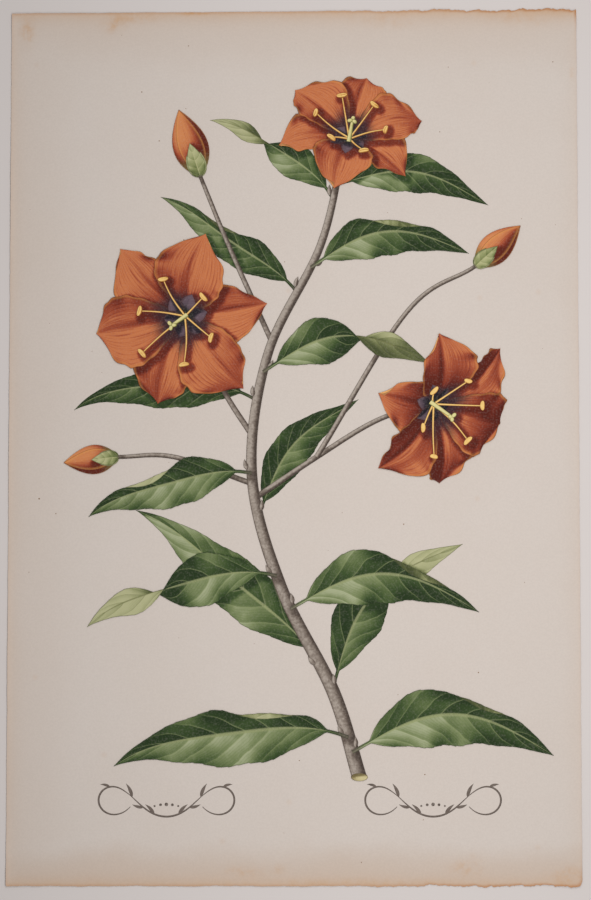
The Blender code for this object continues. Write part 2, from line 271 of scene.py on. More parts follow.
paperLook = {
    "cream": (210, 200, 192),
    "warm": (206, 193, 182),
    # edge band colours: age toning, with painted shade along the left edge
    "wideToneAndShade": (191, 166, 144),
    "edgeToneAndShade": (197, 160, 124),
    "stain": (198, 152, 104),
    "rim": (180, 122, 76),
    "burnt": (104, 76, 56),
    "narrowBand": 0.0052,
    "wobble": 0.016,
    "wobbleScale": 26.0,
    "blotScale": 130.0,
    "foxingScale": 26.0,
    "foxingStrength": 0.10,
    "rimReach": 2.0,
    "reliefStrength": 0.25,
    # sides run top, bottom, left, right: their axis and way along it, how strongly they darken the paper at
    # the edge and how strongly in a wide band, and how far that band reaches. Top, bottom and right darken by
    # age toning; the left side is age toning with painted shade added, where the light falls off towards that
    # edge
    "sides": [
        ("Y", 1, 0.64, 0.17, 0.046), ("Y", -1, 0.55, 0.36, 0.030), ("X", -1, 0.34, 0.10, 0.050),
        ("X", 1, 0.14, 0.03, 0.014),
    ],
    # stains: middle, half width and half height in millimetres, and strength
    "stains": [
        (-166, 257, 4, 8, 0.60), (-112, 262, 6, 5, 0.50), (-100, 266, 12, 3, 0.40), (-62, 269, 8, 1.5, 0.9),
        (60, 264, 16, 4, 0.25), (142, 266, 14, 4, 0.30), (105, -259, 9, 6, 0.35), (168, -264, 10, 5, 0.55),
        (-30, -261, 10, 3.5, 0.40), (-10, -260, 4, 3, 0.30), (40, -268, 60, 2, 0.25),
        (173, 232, 1.5, 4, 0.35),
    ],
    "burntEdge": (-134, 270.5, 26, 1.3, 0.85),
}


# How strongly a side of the sheet darkens its paper, by age toning and on the left also by painted shade: in
# a narrow band and in a wide one
def sideTone(tree, axes, side, wobble):
    name, way, atEdge, inBand, reach = side
    half = sheetHigh["XY".index(name)]
    signed = calc(tree, "MULTIPLY_ADD", axes[name], float(-way), half)
    away = calc(tree, "MAXIMUM", calc(tree, "MULTIPLY_ADD", wobble, 0.25, signed), 0.0)
    narrow = calc(tree, "EXPONENT", calc(tree, "DIVIDE", away, -paperLook["narrowBand"]))
    wide = stepBetween(tree, calc(tree, "ADD", signed, wobble), reach, reach * 0.35)
    return calc(tree, "MULTIPLY", narrow, atEdge), calc(tree, "MULTIPLY", wide, inBand)


# A soft oval stain, from its middle and half sizes in millimetres
def stainMask(tree, axes, stain):
    x, y, wide, high, strength = stain
    acrossIt = calc(tree, "MULTIPLY_ADD", axes["X"], 1 / (wide * mm), -x / wide)
    alongIt = calc(tree, "MULTIPLY_ADD", axes["Y"], 1 / (high * mm), -y / high)
    squared = calc(tree, "MULTIPLY", acrossIt, acrossIt)
    away = calc(tree, "MULTIPLY_ADD", alongIt, alongIt, squared)
    return calc(tree, "MULTIPLY", calc(tree, "EXPONENT", calc(tree, "MULTIPLY", away, -1.0)), strength)


def makePaperMaterial():
    material, tree, shader = newMaterial("wovePaper", 0.92, 0.15)
    place = objectPlace(tree)
    axes = split(tree, place)
    grain = useGroup(tree, grainGroup)
    drift = swing(tree, noise(tree, place, paperLook["wobbleScale"], 5.0, 0.62), paperLook["wobble"])
    narrow, wide = zip(*(sideTone(tree, axes, side, drift) for side in paperLook["sides"]))
    ends = largest(tree, *narrow[:2])
    cloud = calc(tree, "MULTIPLY_ADD", grain["Cloud"], 0.8, -0.2, clamp=True)
    colour = mixColour(tree, cloud, tint(*paperLook["cream"]), tint(*paperLook["warm"]))
    # the wide and narrow edge bands: age toning, and on the left painted shade as well
    colour = overlay(tree, colour, paperLook["wideToneAndShade"], largest(tree, *wide))
    colour = overlay(tree, colour, paperLook["edgeToneAndShade"], largest(tree, *narrow))
    # orange stains gather at the two ends, in ragged blots
    blot = stepBetween(tree, noise(tree, place, paperLook["blotScale"], 4.0, 0.7), 0.40, 0.66, 0.25, 1.0)
    stained = stainMask(tree, axes, paperLook["stains"][0])
    for stain in paperLook["stains"][1:]:
        stained = calc(tree, "ADD", stained, stainMask(tree, axes, stain))
    close = calc(tree, "MULTIPLY", calc(tree, "POWER", ends, 2.0), 0.5)
    stained = calc(tree, "MULTIPLY", blot, calc(tree, "ADD", stained, close), clamp=True)
    colour = overlay(tree, colour, paperLook["stain"], stained)
    # pale foxing lies anywhere
    cells = cellsAt(tree, place, paperLook["foxingScale"])
    lot = addNode(tree, "ShaderNodeSeparateColor", None, {0: cells["Color"]}).outputs[0]
    near = stepBetween(tree, cells["Distance"], 0.07, 0.01)
    spot = calc(tree, "MULTIPLY", near, stepBetween(tree, lot, 0.80, 0.86))
    colour = overlay(tree, colour, paperLook["stain"], spot, paperLook["foxingStrength"])
    # the deckle is soaked to an orange rim, burnt brown for a short way at the top
    rim = markOf(tree, "inset")
    soaked = stepBetween(tree, rim, paperLook["rimReach"], 0.0)
    rightward = stepBetween(tree, axes["X"], 0.0, 0.16, 0.45, 1.3)
    strength = calc(tree, "MULTIPLY_ADD", calc(tree, "MULTIPLY", ends, rightward), 1.0, 0.04)
    colour = overlay(tree, colour, paperLook["rim"], soaked, strength)
    burnt = stainMask(tree, axes, paperLook["burntEdge"])
    colour = overlay(tree, colour, paperLook["burnt"], burnt)
    fleck = stepBetween(tree, grain["Fleck"], 0.30, 0.70, 0.975, 1.015)
    shade = addNode(tree, "ShaderNodeCombineColor", None, {0: fleck, 1: fleck, 2: fleck}).outputs[0]
    colour = mixColour(tree, 1.0, colour, shade, "MULTIPLY")
    paintWith(tree, shader, colour, grain["Height"], paperLook["reliefStrength"])
    return material


# The sheet's edge in metres, but for the insets of its rings, which are in millimetres
deckle = {
    "thickness": 0.0003,
    "depth": 0.0008,
    "inward": (0.0012, 0.0),
    "fade": 0.006,
    # sides run right, top, left, bottom: how ragged each is at its left and right end
    "ragged": ((0.15, 0.15), (0.16, 1.35), (0.15, 0.15), (0.36, 1.35)),
    # corners run top right, top left, bottom left, bottom right
    "corners": (0.0005, 0.0004, 0.0004, 0.003),
    "waves": [(0.061, 0.42, 0.3), (0.023, 0.30, 1.9), (0.0137, 0.22, 4.1), (0.0091, 0.16, 2.6)],
    "fine": [(0.0047, 0.16, 0.7), (0.0031, 0.13, 3.9), (0.0021, 0.10, 5.3)],
    "notches": 110,
    "notchDepth": 0.0009,
    "notchWidth": 0.0016,
    "fineFade": 0.0022,
    "thinBand": 0.0018,
    "thinShare": 0.35,
    "raggedTurn": 0.10,
    "topSlope": 0.0014,
    "spacing": 0.0010,
    "liftBand": 0.004,
    "edgeLift": 0.0008,
    "cornerLift": 0.0004,
    "cornerReach": 0.030,
    "insets": (0, 0.35, 0.8, 1.5, 2.2, 3.0, 4.0, 6.0, 12.0, 30.0),
    "sharpFrom": 40,
    "seed": 7,
}


# A point of the plain edge at a distance round the sheet, the way that faces out there and its side
def edgePoint(distance):
    half = (sheetWide / 2 - deckle["inward"][0], sheetLong / 2 - deckle["inward"][1])
    for side in range(4):
        out = Vector((math.cos(side * math.pi / 2), math.sin(side * math.pi / 2)))
        along = Vector((-out.y, out.x))
        radius = deckle["corners"][side]
        quarter = math.pi / 2 * radius
        straight = 2 * half[1 - side % 2] - radius - deckle["corners"][side - 1]
        corner = out * half[side % 2] + along * half[1 - side % 2]
        if distance <= straight:
            return corner - along * (radius + straight - distance), out, side
        distance -= straight
        if distance <= quarter:
            outward = out * math.cos(distance / radius) + along * math.sin(distance / radius)
            return corner - (out + along) * radius + outward * radius, outward, side
        distance -= quarter
    return edgePoint(0.0)


# How high the rim stands off the board: only the outer band lifts, a little more at the corners
def rimLift(x, y, inset):
    wave = 0.8 + 0.2 * math.sin(fullTurn * (x / 0.190 + y / 0.143) + 0.8)
    toCorner = math.hypot(sheetWide / 2 - abs(x), sheetLong / 2 - abs(y))
    nearCorner = max(0.0, 1 - toCorner / deckle["cornerReach"])
    raised = deckle["edgeLift"] * wave + deckle["cornerLift"] * nearCorner**2
    return raised * max(0.0, 1 - inset / deckle["liftBand"]) ** 2


def waveSum(waves, distance):
    return sum(share * math.sin(fullTurn * distance / long + phase) for long, share, phase in waves)


# Rings of points under the sheet, from its ragged edge inwards
def sheetRings():
    draws = np.random.default_rng(deckle["seed"])
    around = 2 * (sheetWide + sheetLong) - 4 * sum(deckle["inward"])
    around += (math.pi / 2 - 2) * sum(deckle["corners"])
    count = round(around / deckle["spacing"])
    notches = draws.uniform(0, around, deckle["notches"])
    notchSize = draws.uniform(0.0, 1.0, deckle["notches"]) ** 2 * deckle["notchDepth"]
    insets = [inset * mm for inset in deckle["insets"]]
    rings = [[] for inset in insets]
    for i in range(count):
        distance = around * i / count
        point, outward, side = edgePoint(distance)
        atLeft, atRight = deckle["ragged"][side]
        ragged = float(atLeft + (atRight - atLeft) * ease(point.x, 0.0, deckle["raggedTurn"]))
        wave = waveSum(deckle["waves"], distance)
        fine = waveSum(deckle["fine"], distance)
        away = (distance - notches) / deckle["notchWidth"]
        bite = float(np.sum(notchSize * np.exp(-(away**2)))) * ragged
        for ring, inset in zip(rings, insets):
            shrunk = Vector((point.x * (1 - 2 * inset / sheetWide), point.y * (1 - 2 * inset / sheetLong)))
            slow = deckle["depth"] * wave * ragged * max(0.0, 1 - inset / deckle["fade"])
            quick = (deckle["depth"] * fine * ragged - bite) * max(0.0, 1 - inset / deckle["fineFade"])
            place = shrunk + outward * (slow + quick)
            place.y += deckle["topSlope"] * place.x / sheetHigh[0] * max(0.0, place.y / sheetHigh[1]) ** 3
            ring.append((place.x, place.y, rimLift(place.x, place.y, inset)))
    return np.array(rings)


# Faces between the rings above and below, round the edge and over both middles
def sheetFaces(levels, count):
    total = levels * count
    inner = total - count
    faces = []
    for start in range(0, inner, count):
        for i in range(count):
            a, b = start + i, start + (i + 1) % count
            faces.append((a, b, b + count, a + count))
            faces.append((total + a + count, total + b + count, total + b, total + a))
    for i in range(count):
        after = (i + 1) % count
        faces.append((after, i, total + i, total + after))
    faces.append(tuple(range(inner, total)))
    faces.append(tuple(total + k for k in reversed(range(inner, total))))
    return faces


def makeSheet():
    lower = sheetRings()
    levels, count = lower.shape[:2]
    thinShare = deckle["thinShare"]
    filled = [min(1.0, inset * mm / deckle["thinBand"]) for inset in deckle["insets"]]
    thickness = deckle["thickness"] * np.array([thinShare + (1 - thinShare) * share for share in filled])
    upper = lower + np.stack([0 * thickness, 0 * thickness, thickness], axis=-1)[:, None, :]
    points = np.concatenate([upper.reshape(-1, 3), lower.reshape(-1, 3)])
    mesh = bpy.data.meshes.new("paperSheet")
    mesh.from_pydata(points.tolist(), [], sheetFaces(levels, count))
    mesh.materials.append(makePaperMaterial())
    markPoints(mesh, "inset", np.tile(np.repeat(deckle["insets"], count), 2))
    mesh.polygons.foreach_set("use_smooth", [True] * len(mesh.polygons))
    mesh.set_sharp_from_angle(angle=math.radians(deckle["sharpFrom"]))
    sheet = newObject("paperSheet", mesh)
    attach(sheet, "root")
    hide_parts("sheet")


makeSheet()
print("paper ready")

# Millimetres: the paper's top, the first film's gap over it, the pitch from one level to the next and
# a film's thickness; where the light comes from, and how far and how deep a piece shades what is under it
press = {
    "paper": 0.30,
    "gap": 0.02,
    "pitch": 0.07,
    "film": 0.02,
    "light": (-0.50, 0.42, 0.76),
    "shadowWay": (1.7, -2.0),
    "shadowStart": 0.6,
    "shadowReach": 3.4,
    "shadowDepth": 0.42,
}


def levelBase(level):
    return press["paper"] + press["gap"] + press["pitch"] * level


# A smooth route through a few points, as a Catmull-Rom curve
def smoothPath(points, steps=12):
    given = np.array(points, float)
    ends = np.vstack([2 * given[0] - given[1], given, 2 * given[-1] - given[-2]])
    path = []
    for i in range(1, len(ends) - 2):
        a, b, c, d = ends[i - 1 : i + 3]
        for step in range(steps):
            t = step / steps
            bend = 2 * a - 5 * b + 4 * c - d
            twist = 3 * b - a - 3 * c + d
            path.append(0.5 * (2 * b + (c - a) * t + bend * t**2 + twist * t**3))
    path.append(given[-1])
    return np.array(path)


def pointOn(path, share):
    place = share * (len(path) - 1)
    first = min(int(place), len(path) - 2)
    return path[first] + (path[first + 1] - path[first]) * (place - first)


# The tone that light gives a curved surface, and how squarely it faces the viewer
def litTone(surface, lamp):
    along = np.gradient(surface, axis=0)
    across = np.gradient(surface, axis=1)
    normal = np.cross(along, across)
    normal /= np.maximum(1e-9, np.linalg.norm(normal, axis=2, keepdims=True))
    normal *= np.where(normal[..., 2:] < 0, -1.0, 1.0)
    lamp = np.array(lamp) / np.linalg.norm(lamp)
    return np.clip(normal @ lamp, 0.0, 1.0), normal[..., 2]


# Pieces are drawn from the top down, so that each one knows what lies over it and shades it
drawnOver = []


def overShade(surface, level):
    places = surface[..., :2].reshape(-1, 2)
    above = [points for other, points in drawnOver if other > level + 0.5]
    drawnOver.append((level, places[::3]))
    if not above:
        return np.zeros(surface.shape[:2])
    above = np.concatenate(above)
    tree = kdtree.KDTree(len(above))
    for index, (x, y) in enumerate(above):
        tree.insert((x, y, 0.0), index)
    tree.balance()
    shifted = places - np.array(press["shadowWay"])
    away = np.array([tree.find((x, y, 0.0))[2] for x, y in shifted])
    return 1 - ease(away, press["shadowStart"], press["shadowReach"]).reshape(surface.shape[:2])


# A drawn shape pressed to the paper: a closed film for what faces up, another for what is turned over
def pressed(shape, level, depth, lamp=press["light"], slots=(0, 1)):
    surface, values = shape
    rows, columns = surface.shape[:2]
    tone, facing = litTone(surface, lamp)
    tone = tone * (1 - press["shadowDepth"] * overShade(surface, level))
    height = surface[..., 2]
    spread = max(1e-6, height.max() - height.min())
    flat = surface.copy()
    flat[..., 2] = levelBase(level) + press["film"] + (height - height.min()) / spread * depth
    index = np.arange(rows * columns).reshape(rows, columns)
    quads = np.stack([index[:-1, :-1], index[1:, :-1], index[1:, 1:], index[:-1, 1:]], axis=-1).reshape(-1, 4)
    points = flat.reshape(-1, 3)
    diagonalA = points[quads[:, 2]] - points[quads[:, 0]]
    diagonalB = points[quads[:, 3]] - points[quads[:, 1]]
    area = diagonalA[:, 0] * diagonalB[:, 1] - diagonalA[:, 1] * diagonalB[:, 0]
    marks = {"tone": tone.reshape(-1), "facing": facing.reshape(-1)}
    for name, value in values.items():
        marks[name] = np.broadcast_to(value, (rows, columns)).reshape(-1)
    layers = []
    for slot, chosen in ((slots[0], area > 0), (slots[1], area <= 0)):
        if chosen.any():
            faces = quads[chosen] if area[chosen][0] > 0 else quads[chosen][:, ::-1]
            layers.append(closedFilm(points, faces, marks, slot))
    return layers


def closedFilm(points, faces, marks, slot):
    used, faces = np.unique(faces, return_inverse=True)
    faces = faces.reshape(-1, 4)
    count = len(used)
    edges = np.concatenate([faces[:, [side, (side + 1) % 4]] for side in range(4)])
    forward = edges[:, 0] * count + edges[:, 1]
    backward = edges[:, 1] * count + edges[:, 0]
    rim = edges[~np.isin(forward, backward)]
    walls = np.column_stack([rim[:, 1], rim[:, 0], rim[:, 0] + count, rim[:, 1] + count])
    under = faces[:, ::-1] + count
    top = points[used]
    bottom = top - np.array([0.0, 0.0, press["film"]])
    return {
        "points": np.concatenate([top, bottom]),
        "faces": np.concatenate([faces, under, walls]),
        "marks": {name: np.tile(value[used], 2) for name, value in marks.items()},
        "slot": slot,
    }


# One object from the films of a leaf, a bloom or a twig
def makePiece(name, layers, materials, node):
    points, faces, slots = [], [], []
    marks = {key: [] for key in layers[0]["marks"]}
    start = 0
    for layer in layers:
        points.append(layer["points"])
        faces.append(layer["faces"] + start)
        slots.append(np.full(len(layer["faces"]), layer["slot"]))
        for key in marks:
            marks[key].append(layer["marks"][key])
        start += len(layer["points"])
    places = np.concatenate(points) * mm - np.array([0.0, sheetLong / 2, 0.0])
    mesh = bpy.data.meshes.new(name)
    mesh.from_pydata(places.tolist(), [], np.concatenate(faces).tolist())
    for material in materials:
        mesh.materials.append(material)
    mesh.polygons.foreach_set("material_index", np.concatenate(slots).astype(np.int32))
    uv = mesh.uv_layers.new(name="stroke")
    corners = np.empty(len(mesh.loops), np.int32)
    mesh.loops.foreach_get("vertex_index", corners)
    along = np.concatenate(marks.pop("along"))[corners]
    across = np.concatenate(marks.pop("across"))[corners]
    uv.data.foreach_set("uv", np.column_stack([along, across * 0.5 + 0.5]).astype(np.float32).ravel())
    for key, parts in marks.items():
        markPoints(mesh, key, np.concatenate(parts))
    piece = newObject(name, mesh)
    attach(piece, "root")
    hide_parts(node)


# A leaf's half width along its length: a stalk, a long blade and a drawn-out tip, with shallow lobes
def leafProfile(share):
    blade = np.maximum(0.0, (share - 0.09) / 0.91)
    return np.sin(math.pi * blade**0.76) ** 1.08 * (1 + 0.04 * np.sin(fullTurn * 4.5 * blade))


# A small pointed scale, widest near its root
def scaleProfile(share):
    return np.sin(math.pi * np.clip(share, 0.02, 0.998) ** 0.7) ** 0.9


# What all blades share: teeth along a side, where the roll begins and ends, how long a curl is, and
# how far the halves bend down again towards their edges, in degrees
bladeLook = {"teeth": 21, "rolled": (0.30, 0.85), "curlLength": 0.17, "curled": (0.35, 0.95), "hollow": 22}


# A blade: a midrib that bends in the plane of the paper, two halves that fold, roll and curl about it
def leafSurface(root, shape, steps=120, columns=28):
    share = np.linspace(0, 1, steps + 1)
    middle = (share[:-1] + share[1:]) / 2

    def headings(place):
        sway = shape.get("sway", 9) * np.sin(fullTurn * place)
        return np.radians(shape["heading"] + shape["bend"] * place + sway)

    stride = shape["length"] / steps
    forward = np.column_stack([np.cos(headings(middle)), np.sin(headings(middle))]) * stride
    spine = np.vstack([root, np.array(root) + np.cumsum(forward, axis=0)])
    angle = headings(share)
    normal = np.column_stack([-np.sin(angle), np.cos(angle)])
    pitch = np.radians(shape["rise"] + (shape["droop"] - shape["rise"]) * share)
    height = np.concatenate([[0.0], np.cumsum(np.tan((pitch[:-1] + pitch[1:]) / 2) * stride)])
    teeth = shape.get("teeth", 0.03) * ((share * bladeLook["teeth"]) % 1.0)
    profile = shape.get("profile", leafProfile)(share)
    half = np.maximum(shape.get("stalk", 1.1) * (1 - 0.9 * share), shape["halfWidth"] * profile * (1 + teeth))
    half[-1] = 0.12
    rollRoot, rollTip = shape["roll"]
    roll = np.radians(rollRoot + (rollTip - rollRoot) * ease(share, *bladeLook["rolled"]))
    across = np.linspace(-1, 1, columns + 1)
    surface = np.zeros((steps + 1, columns + 1, 3))
    centre = columns // 2
    reach = np.linspace(0, 1, centre + 1)
    outer = (reach[:-1] + reach[1:]) / 2
    start = np.zeros((steps + 1, 1))
    for side in (-1, 1):
        curlPlace, curlTurn = shape["curl"][0 if side > 0 else 1]
        curl = np.radians(curlTurn) * np.exp(-(((share - curlPlace) / bladeLook["curlLength"]) ** 2))
        lean = roll[:, None] * side + np.radians(shape["fold"] - bladeLook["hollow"] * outer)[None, :]
        lean = lean + curl[:, None] * ease(outer, *bladeLook["curled"])[None, :]
        strip = half[:, None] / centre
        out = np.concatenate([start, np.cumsum(np.cos(lean) * strip, axis=1)], axis=1)
        up = np.concatenate([start, np.cumsum(np.sin(lean) * strip, axis=1)], axis=1)
        ripple = np.sin(fullTurn * shape.get("waves", 3.5) * share[:, None] + shape["phase"] + side)
        up = up + shape.get("wave", 0.10) * half[:, None] * reach[None, :] ** 2 * ripple
        for k in range(centre + 1):
            surface[:, centre + side * k, :2] = spine + normal * (out[:, k] * side)[:, None]
            surface[:, centre + side * k, 2] = height + up[:, k]
    edge = (1 - np.abs(across))[None, :] * half[:, None]
    return surface, {"along": share[:, None], "across": across[None, :], "edge": edge}


# A scale or leaflet: a blade like a leaf's, but small, smooth and pointed
def smallBlade(heading, bend, length, halfWidth, fold, **more):
    shape = {
        "heading": heading, "bend": bend, "sway": 0, "length": length, "halfWidth": halfWidth,
        "fold": fold, "roll": (0, 0), "rise": 10, "droop": -30, "curl": ((0.5, 0), (0.5, 0)),
        "phase": 0, "wave": 0.0, "teeth": 0.0, "stalk": 0.4, "profile": scaleProfile,
    }
    return {**shape, **more}


# The half width of a body with rounded ends, for a twig's outline
def rounded(width, power=0.42):
    return lambda share: width * (1.02 - (2 * share - 1) ** 2) ** power


# A round twig along a path, with a groove along its middle if it has one
def twigSurface(path, halfWidth, columns=10, groove=0.0):
    last = len(path) - 1
    share = np.linspace(0, 1, len(path))
    ahead = path[np.minimum(np.arange(last + 1) + 1, last)] - path[np.maximum(np.arange(last + 1) - 1, 0)]
    ahead /= np.linalg.norm(ahead, axis=1, keepdims=True)
    normal = np.column_stack([-ahead[:, 1], ahead[:, 0]])
    half = np.array([halfWidth(s) for s in share])
    turned = np.linspace(-math.pi / 2, math.pi / 2, columns + 1) * 0.97
    across = np.sin(turned) / math.sin(math.pi / 2 * 0.97)
    surface = np.zeros((last + 1, columns + 1, 3))
    surface[..., :2] = path[:, None, :] - normal[:, None, :] * (across[None, :] * half[:, None])[..., None]
    crown = np.cos(turned) - groove * np.exp(-((across / 0.3) ** 2))
    surface[..., 2] = crown[None, :] * half[:, None]
    edge = (1 - np.abs(across))[None, :] * half[:, None]
    return surface[:, ::-1], {"along": share[:, None], "across": across[None, ::-1], "edge": edge[:, ::-1]}


leafInk = {
    "stops": [
        (0.0, (38, 56, 28)), (0.30, (62, 82, 44)), (0.55, (90, 106, 64)), (0.80, (124, 136, 93)),
        (1.0, (163, 170, 134)),
    ],
    "line": (40, 52, 32),
    "rib": (158, 164, 118),
    "veins": (142, 152, 106),
}
underLeafInk = {
    "stops": [(0.0, (72, 80, 48)), (0.35, (104, 110, 70)), (0.65, (138, 142, 98)), (1.0, (178, 178, 136))],
    "line": (60, 64, 38),
    "rib": (112, 114, 72),
    "veins": (116, 118, 76),
}
paleLeafInk = {
    "stops": [(0.0, (70, 82, 44)), (0.35, (106, 116, 68)), (0.65, (142, 148, 98)), (1.0, (182, 182, 136))],
    "line": (62, 68, 38),
    "rib": (186, 184, 136),
    "veins": (128, 132, 82),
}
petalInk = {
    "stops": [
        (0.0, (82, 26, 16)), (0.30, (108, 40, 27)), (0.55, (134, 56, 37)), (0.80, (164, 80, 52)),
        (1.0, (200, 120, 76)),
    ],
    "line": (92, 38, 28),
    "rim": (208, 138, 72),
    "base": (46, 38, 46),
    "baseReach": (0.18, 0.38),
}
underPetalInk = {
    "stops": [(0.0, (134, 70, 44)), (0.5, (196, 122, 76)), (1.0, (230, 176, 118))],
    "line": (112, 56, 36),
    "rim": (232, 170, 96),
    "base": (110, 60, 50),
    "baseReach": (0.02, 0.2),
}
budInk = {
    "stops": [(0.0, (92, 34, 22)), (0.35, (132, 54, 36)), (0.65, (170, 84, 54)), (1.0, (210, 136, 86))],
    "line": (92, 36, 24),
    "rim": (222, 154, 84),
    "base": (118, 112, 64),
    "baseReach": (0.10, 0.36),
}
heartInk = {
    "stops": [(0.0, (26, 22, 30)), (0.5, (50, 42, 52)), (1.0, (104, 86, 96))],
    "line": (22, 18, 26),
    "rim": (96, 62, 62),
    "base": (40, 44, 34),
    "baseReach": (0.1, 0.5),
}
barkInk = {
    "stops": [(0.0, (70, 60, 54)), (0.4, (104, 92, 83)), (0.75, (136, 124, 114)), (1.0, (168, 157, 146))],
    "line": (78, 66, 58),
}
stamenInk = {
    "stops": [(0.0, (150, 92, 38)), (0.5, (208, 152, 76)), (1.0, (240, 202, 124))],
    "line": (140, 86, 40),
}
pistilInk = {
    "stops": [(0.0, (112, 112, 58)), (0.5, (168, 162, 96)), (1.0, (222, 212, 150))],
    "line": (96, 92, 50),
}
woodInk = {
    "stops": [(0.0, (112, 100, 64)), (0.5, (164, 150, 104)), (1.0, (208, 196, 150))],
    "line": (92, 78, 58),
}
scrollInk = {
    "stops": [(0.0, (82, 72, 66)), (1.0, (116, 104, 96))],
    "line": (78, 68, 62),
}

# What all inks share, then what leaves and petals have of their own
inkLook = {
    "darkest": 0.22,
    "dots": 1500.0,
    "dotStrength": 0.24,
    "lineWidth": 0.5,
    "lineStrength": 0.6,
    "paperThrough": 0.07,
    "relief": 0.2,
    "ringPitch": 0.55,
}
leafPaint = {
    "pairs": 9.0,
    "swell": 0.24,
    "lines": 0.07,
    "patchScale": 90.0,
    "patches": 0.3,
    "veins": 0.55,
    "midrib": 0.75,
    "stalk": 0.8,
    "stalkReach": 0.07,
}
petalPaint = {
    "streaksAlong": 2.2,
    "streaksAcross": 16.0,
    "streakDepth": 0.5,
    "veins": 9.0,
    "veinBend": 0.12,
    "veinDepth": 0.13,
    "rimWidth": 2.6,
    "rim": 0.5,
    "base": 0.92,
}


def inkStart(name):
    material, tree, shader = newMaterial(name)
    axes = split(tree, addNode(tree, "ShaderNodeUVMap", {"uv_map": "stroke"}).outputs[0])
    marks = {"along": axes["X"], "across": calc(tree, "MULTIPLY_ADD", axes["Y"], 2.0, -1.0)}
    for key in ("tone", "facing", "edge"):
        marks[key] = markOf(tree, key)
    return material, tree, shader, marks


# What every ink shares: stipple, the engraved edge line and the paper that shows through
def inkEnd(tree, shader, marks, shade, colour, look, lineWidth=inkLook["lineWidth"]):
    stipple = useGroup(tree, dotGroup, {"Tone": shade, "Dots per metre": inkLook["dots"]})
    colour = overlay(tree, colour, look["line"], stipple["Dots"], inkLook["dotStrength"])
    inputs = {"Edge": marks["edge"], "Width": lineWidth, "Facing": marks["facing"]}
    contour = useGroup(tree, lineGroup, inputs)
    colour = overlay(tree, colour, look["line"], contour["Line"], inkLook["lineStrength"])
    grain = useGroup(tree, grainGroup)
    thin = stepBetween(tree, grain["Fleck"], 0.45, 0.75, 0.0, inkLook["paperThrough"])
    colour = overlay(tree, colour, paperLook["cream"], thin)
    paintWith(tree, shader, colour, grain["Height"], inkLook["relief"])


def makeLeafInk(name, look, pairs=leafPaint["pairs"]):
    material, tree, shader, marks = inkStart(name)
    veins = useGroup(tree, veinGroup, {"Along": marks["along"], "Across": marks["across"], "Pairs": pairs})
    tone = stepBetween(tree, marks["tone"], inkLook["darkest"], 1.0)
    tone = calc(tree, "MULTIPLY_ADD", veins["Swell"], leafPaint["swell"], tone)
    tone = calc(tree, "MULTIPLY_ADD", veins["Lines"], -leafPaint["lines"], tone)
    patch = swing(tree, noise(tree, objectPlace(tree), leafPaint["patchScale"]), leafPaint["patches"])
    tone = calc(tree, "ADD", tone, patch, clamp=True)
    colour = toneRamp(tree, tone, look["stops"])
    colour = overlay(tree, colour, look["veins"], veins["Veins"], leafPaint["veins"])
    colour = overlay(tree, colour, look["rib"], veins["Midrib"], leafPaint["midrib"])
    # the stalk takes on the bark's tone where it leaves the stem
    stalk = stepBetween(tree, marks["along"], leafPaint["stalkReach"], 0.015)
    colour = overlay(tree, colour, barkInk["stops"][1][1], stalk, leafPaint["stalk"])
    inkEnd(tree, shader, marks, tone, colour, look)
    return material


def makePetalInk(name, look):
    material, tree, shader, marks = inkStart(name)
    # long streaks that fan out from the petal's claw
    lengthwise = calc(tree, "MULTIPLY", marks["along"], petalPaint["streaksAlong"])
    crosswise = calc(tree, "MULTIPLY", marks["across"], petalPaint["streaksAcross"])
    streak = swing(tree, noise(tree, combine(tree, lengthwise, crosswise), 1.6, 4.0))
    bent = calc(tree, "MULTIPLY_ADD", streak, petalPaint["veinBend"], marks["across"])
    share = calc(tree, "FRACT", calc(tree, "MULTIPLY", bent, petalPaint["veins"]))
    veins = stepBetween(tree, calc(tree, "ABSOLUTE", calc(tree, "SUBTRACT", share, 0.5)), 0.36, 0.5)
    tone = stepBetween(tree, marks["tone"], inkLook["darkest"], 1.0)
    tone = calc(tree, "MULTIPLY_ADD", streak, petalPaint["streakDepth"], tone)
    tone = calc(tree, "MULTIPLY_ADD", veins, -petalPaint["veinDepth"], tone, clamp=True)
    colour = toneRamp(tree, tone, look["stops"])
    rim = stepBetween(tree, marks["edge"], petalPaint["rimWidth"], 0.3)
    colour = overlay(tree, colour, look["rim"], rim, petalPaint["rim"])
    reach = calc(tree, "MULTIPLY_ADD", streak, 0.25, marks["along"])
    base = stepBetween(tree, reach, look["baseReach"][1], look["baseReach"][0])
    colour = overlay(tree, colour, look["base"], base, petalPaint["base"])
    inkEnd(tree, shader, marks, tone, colour, look)
    return material


def makePlainInk(name, look, speckle=0.0, lineWidth=inkLook["lineWidth"], rings=0.0):
    material, tree, shader, marks = inkStart(name)
    tone = stepBetween(tree, marks["tone"], 0.1, 1.0)
    uneven = swing(tree, noise(tree, objectPlace(tree), 700.0))
    tone = calc(tree, "MULTIPLY_ADD", uneven, speckle, tone)
    grown = calc(tree, "SINE", calc(tree, "MULTIPLY", marks["edge"], fullTurn / inkLook["ringPitch"]))
    tone = calc(tree, "MULTIPLY_ADD", grown, rings, tone, clamp=True)
    inkEnd(tree, shader, marks, tone, toneRamp(tree, tone, look["stops"]), look, lineWidth)
    return material


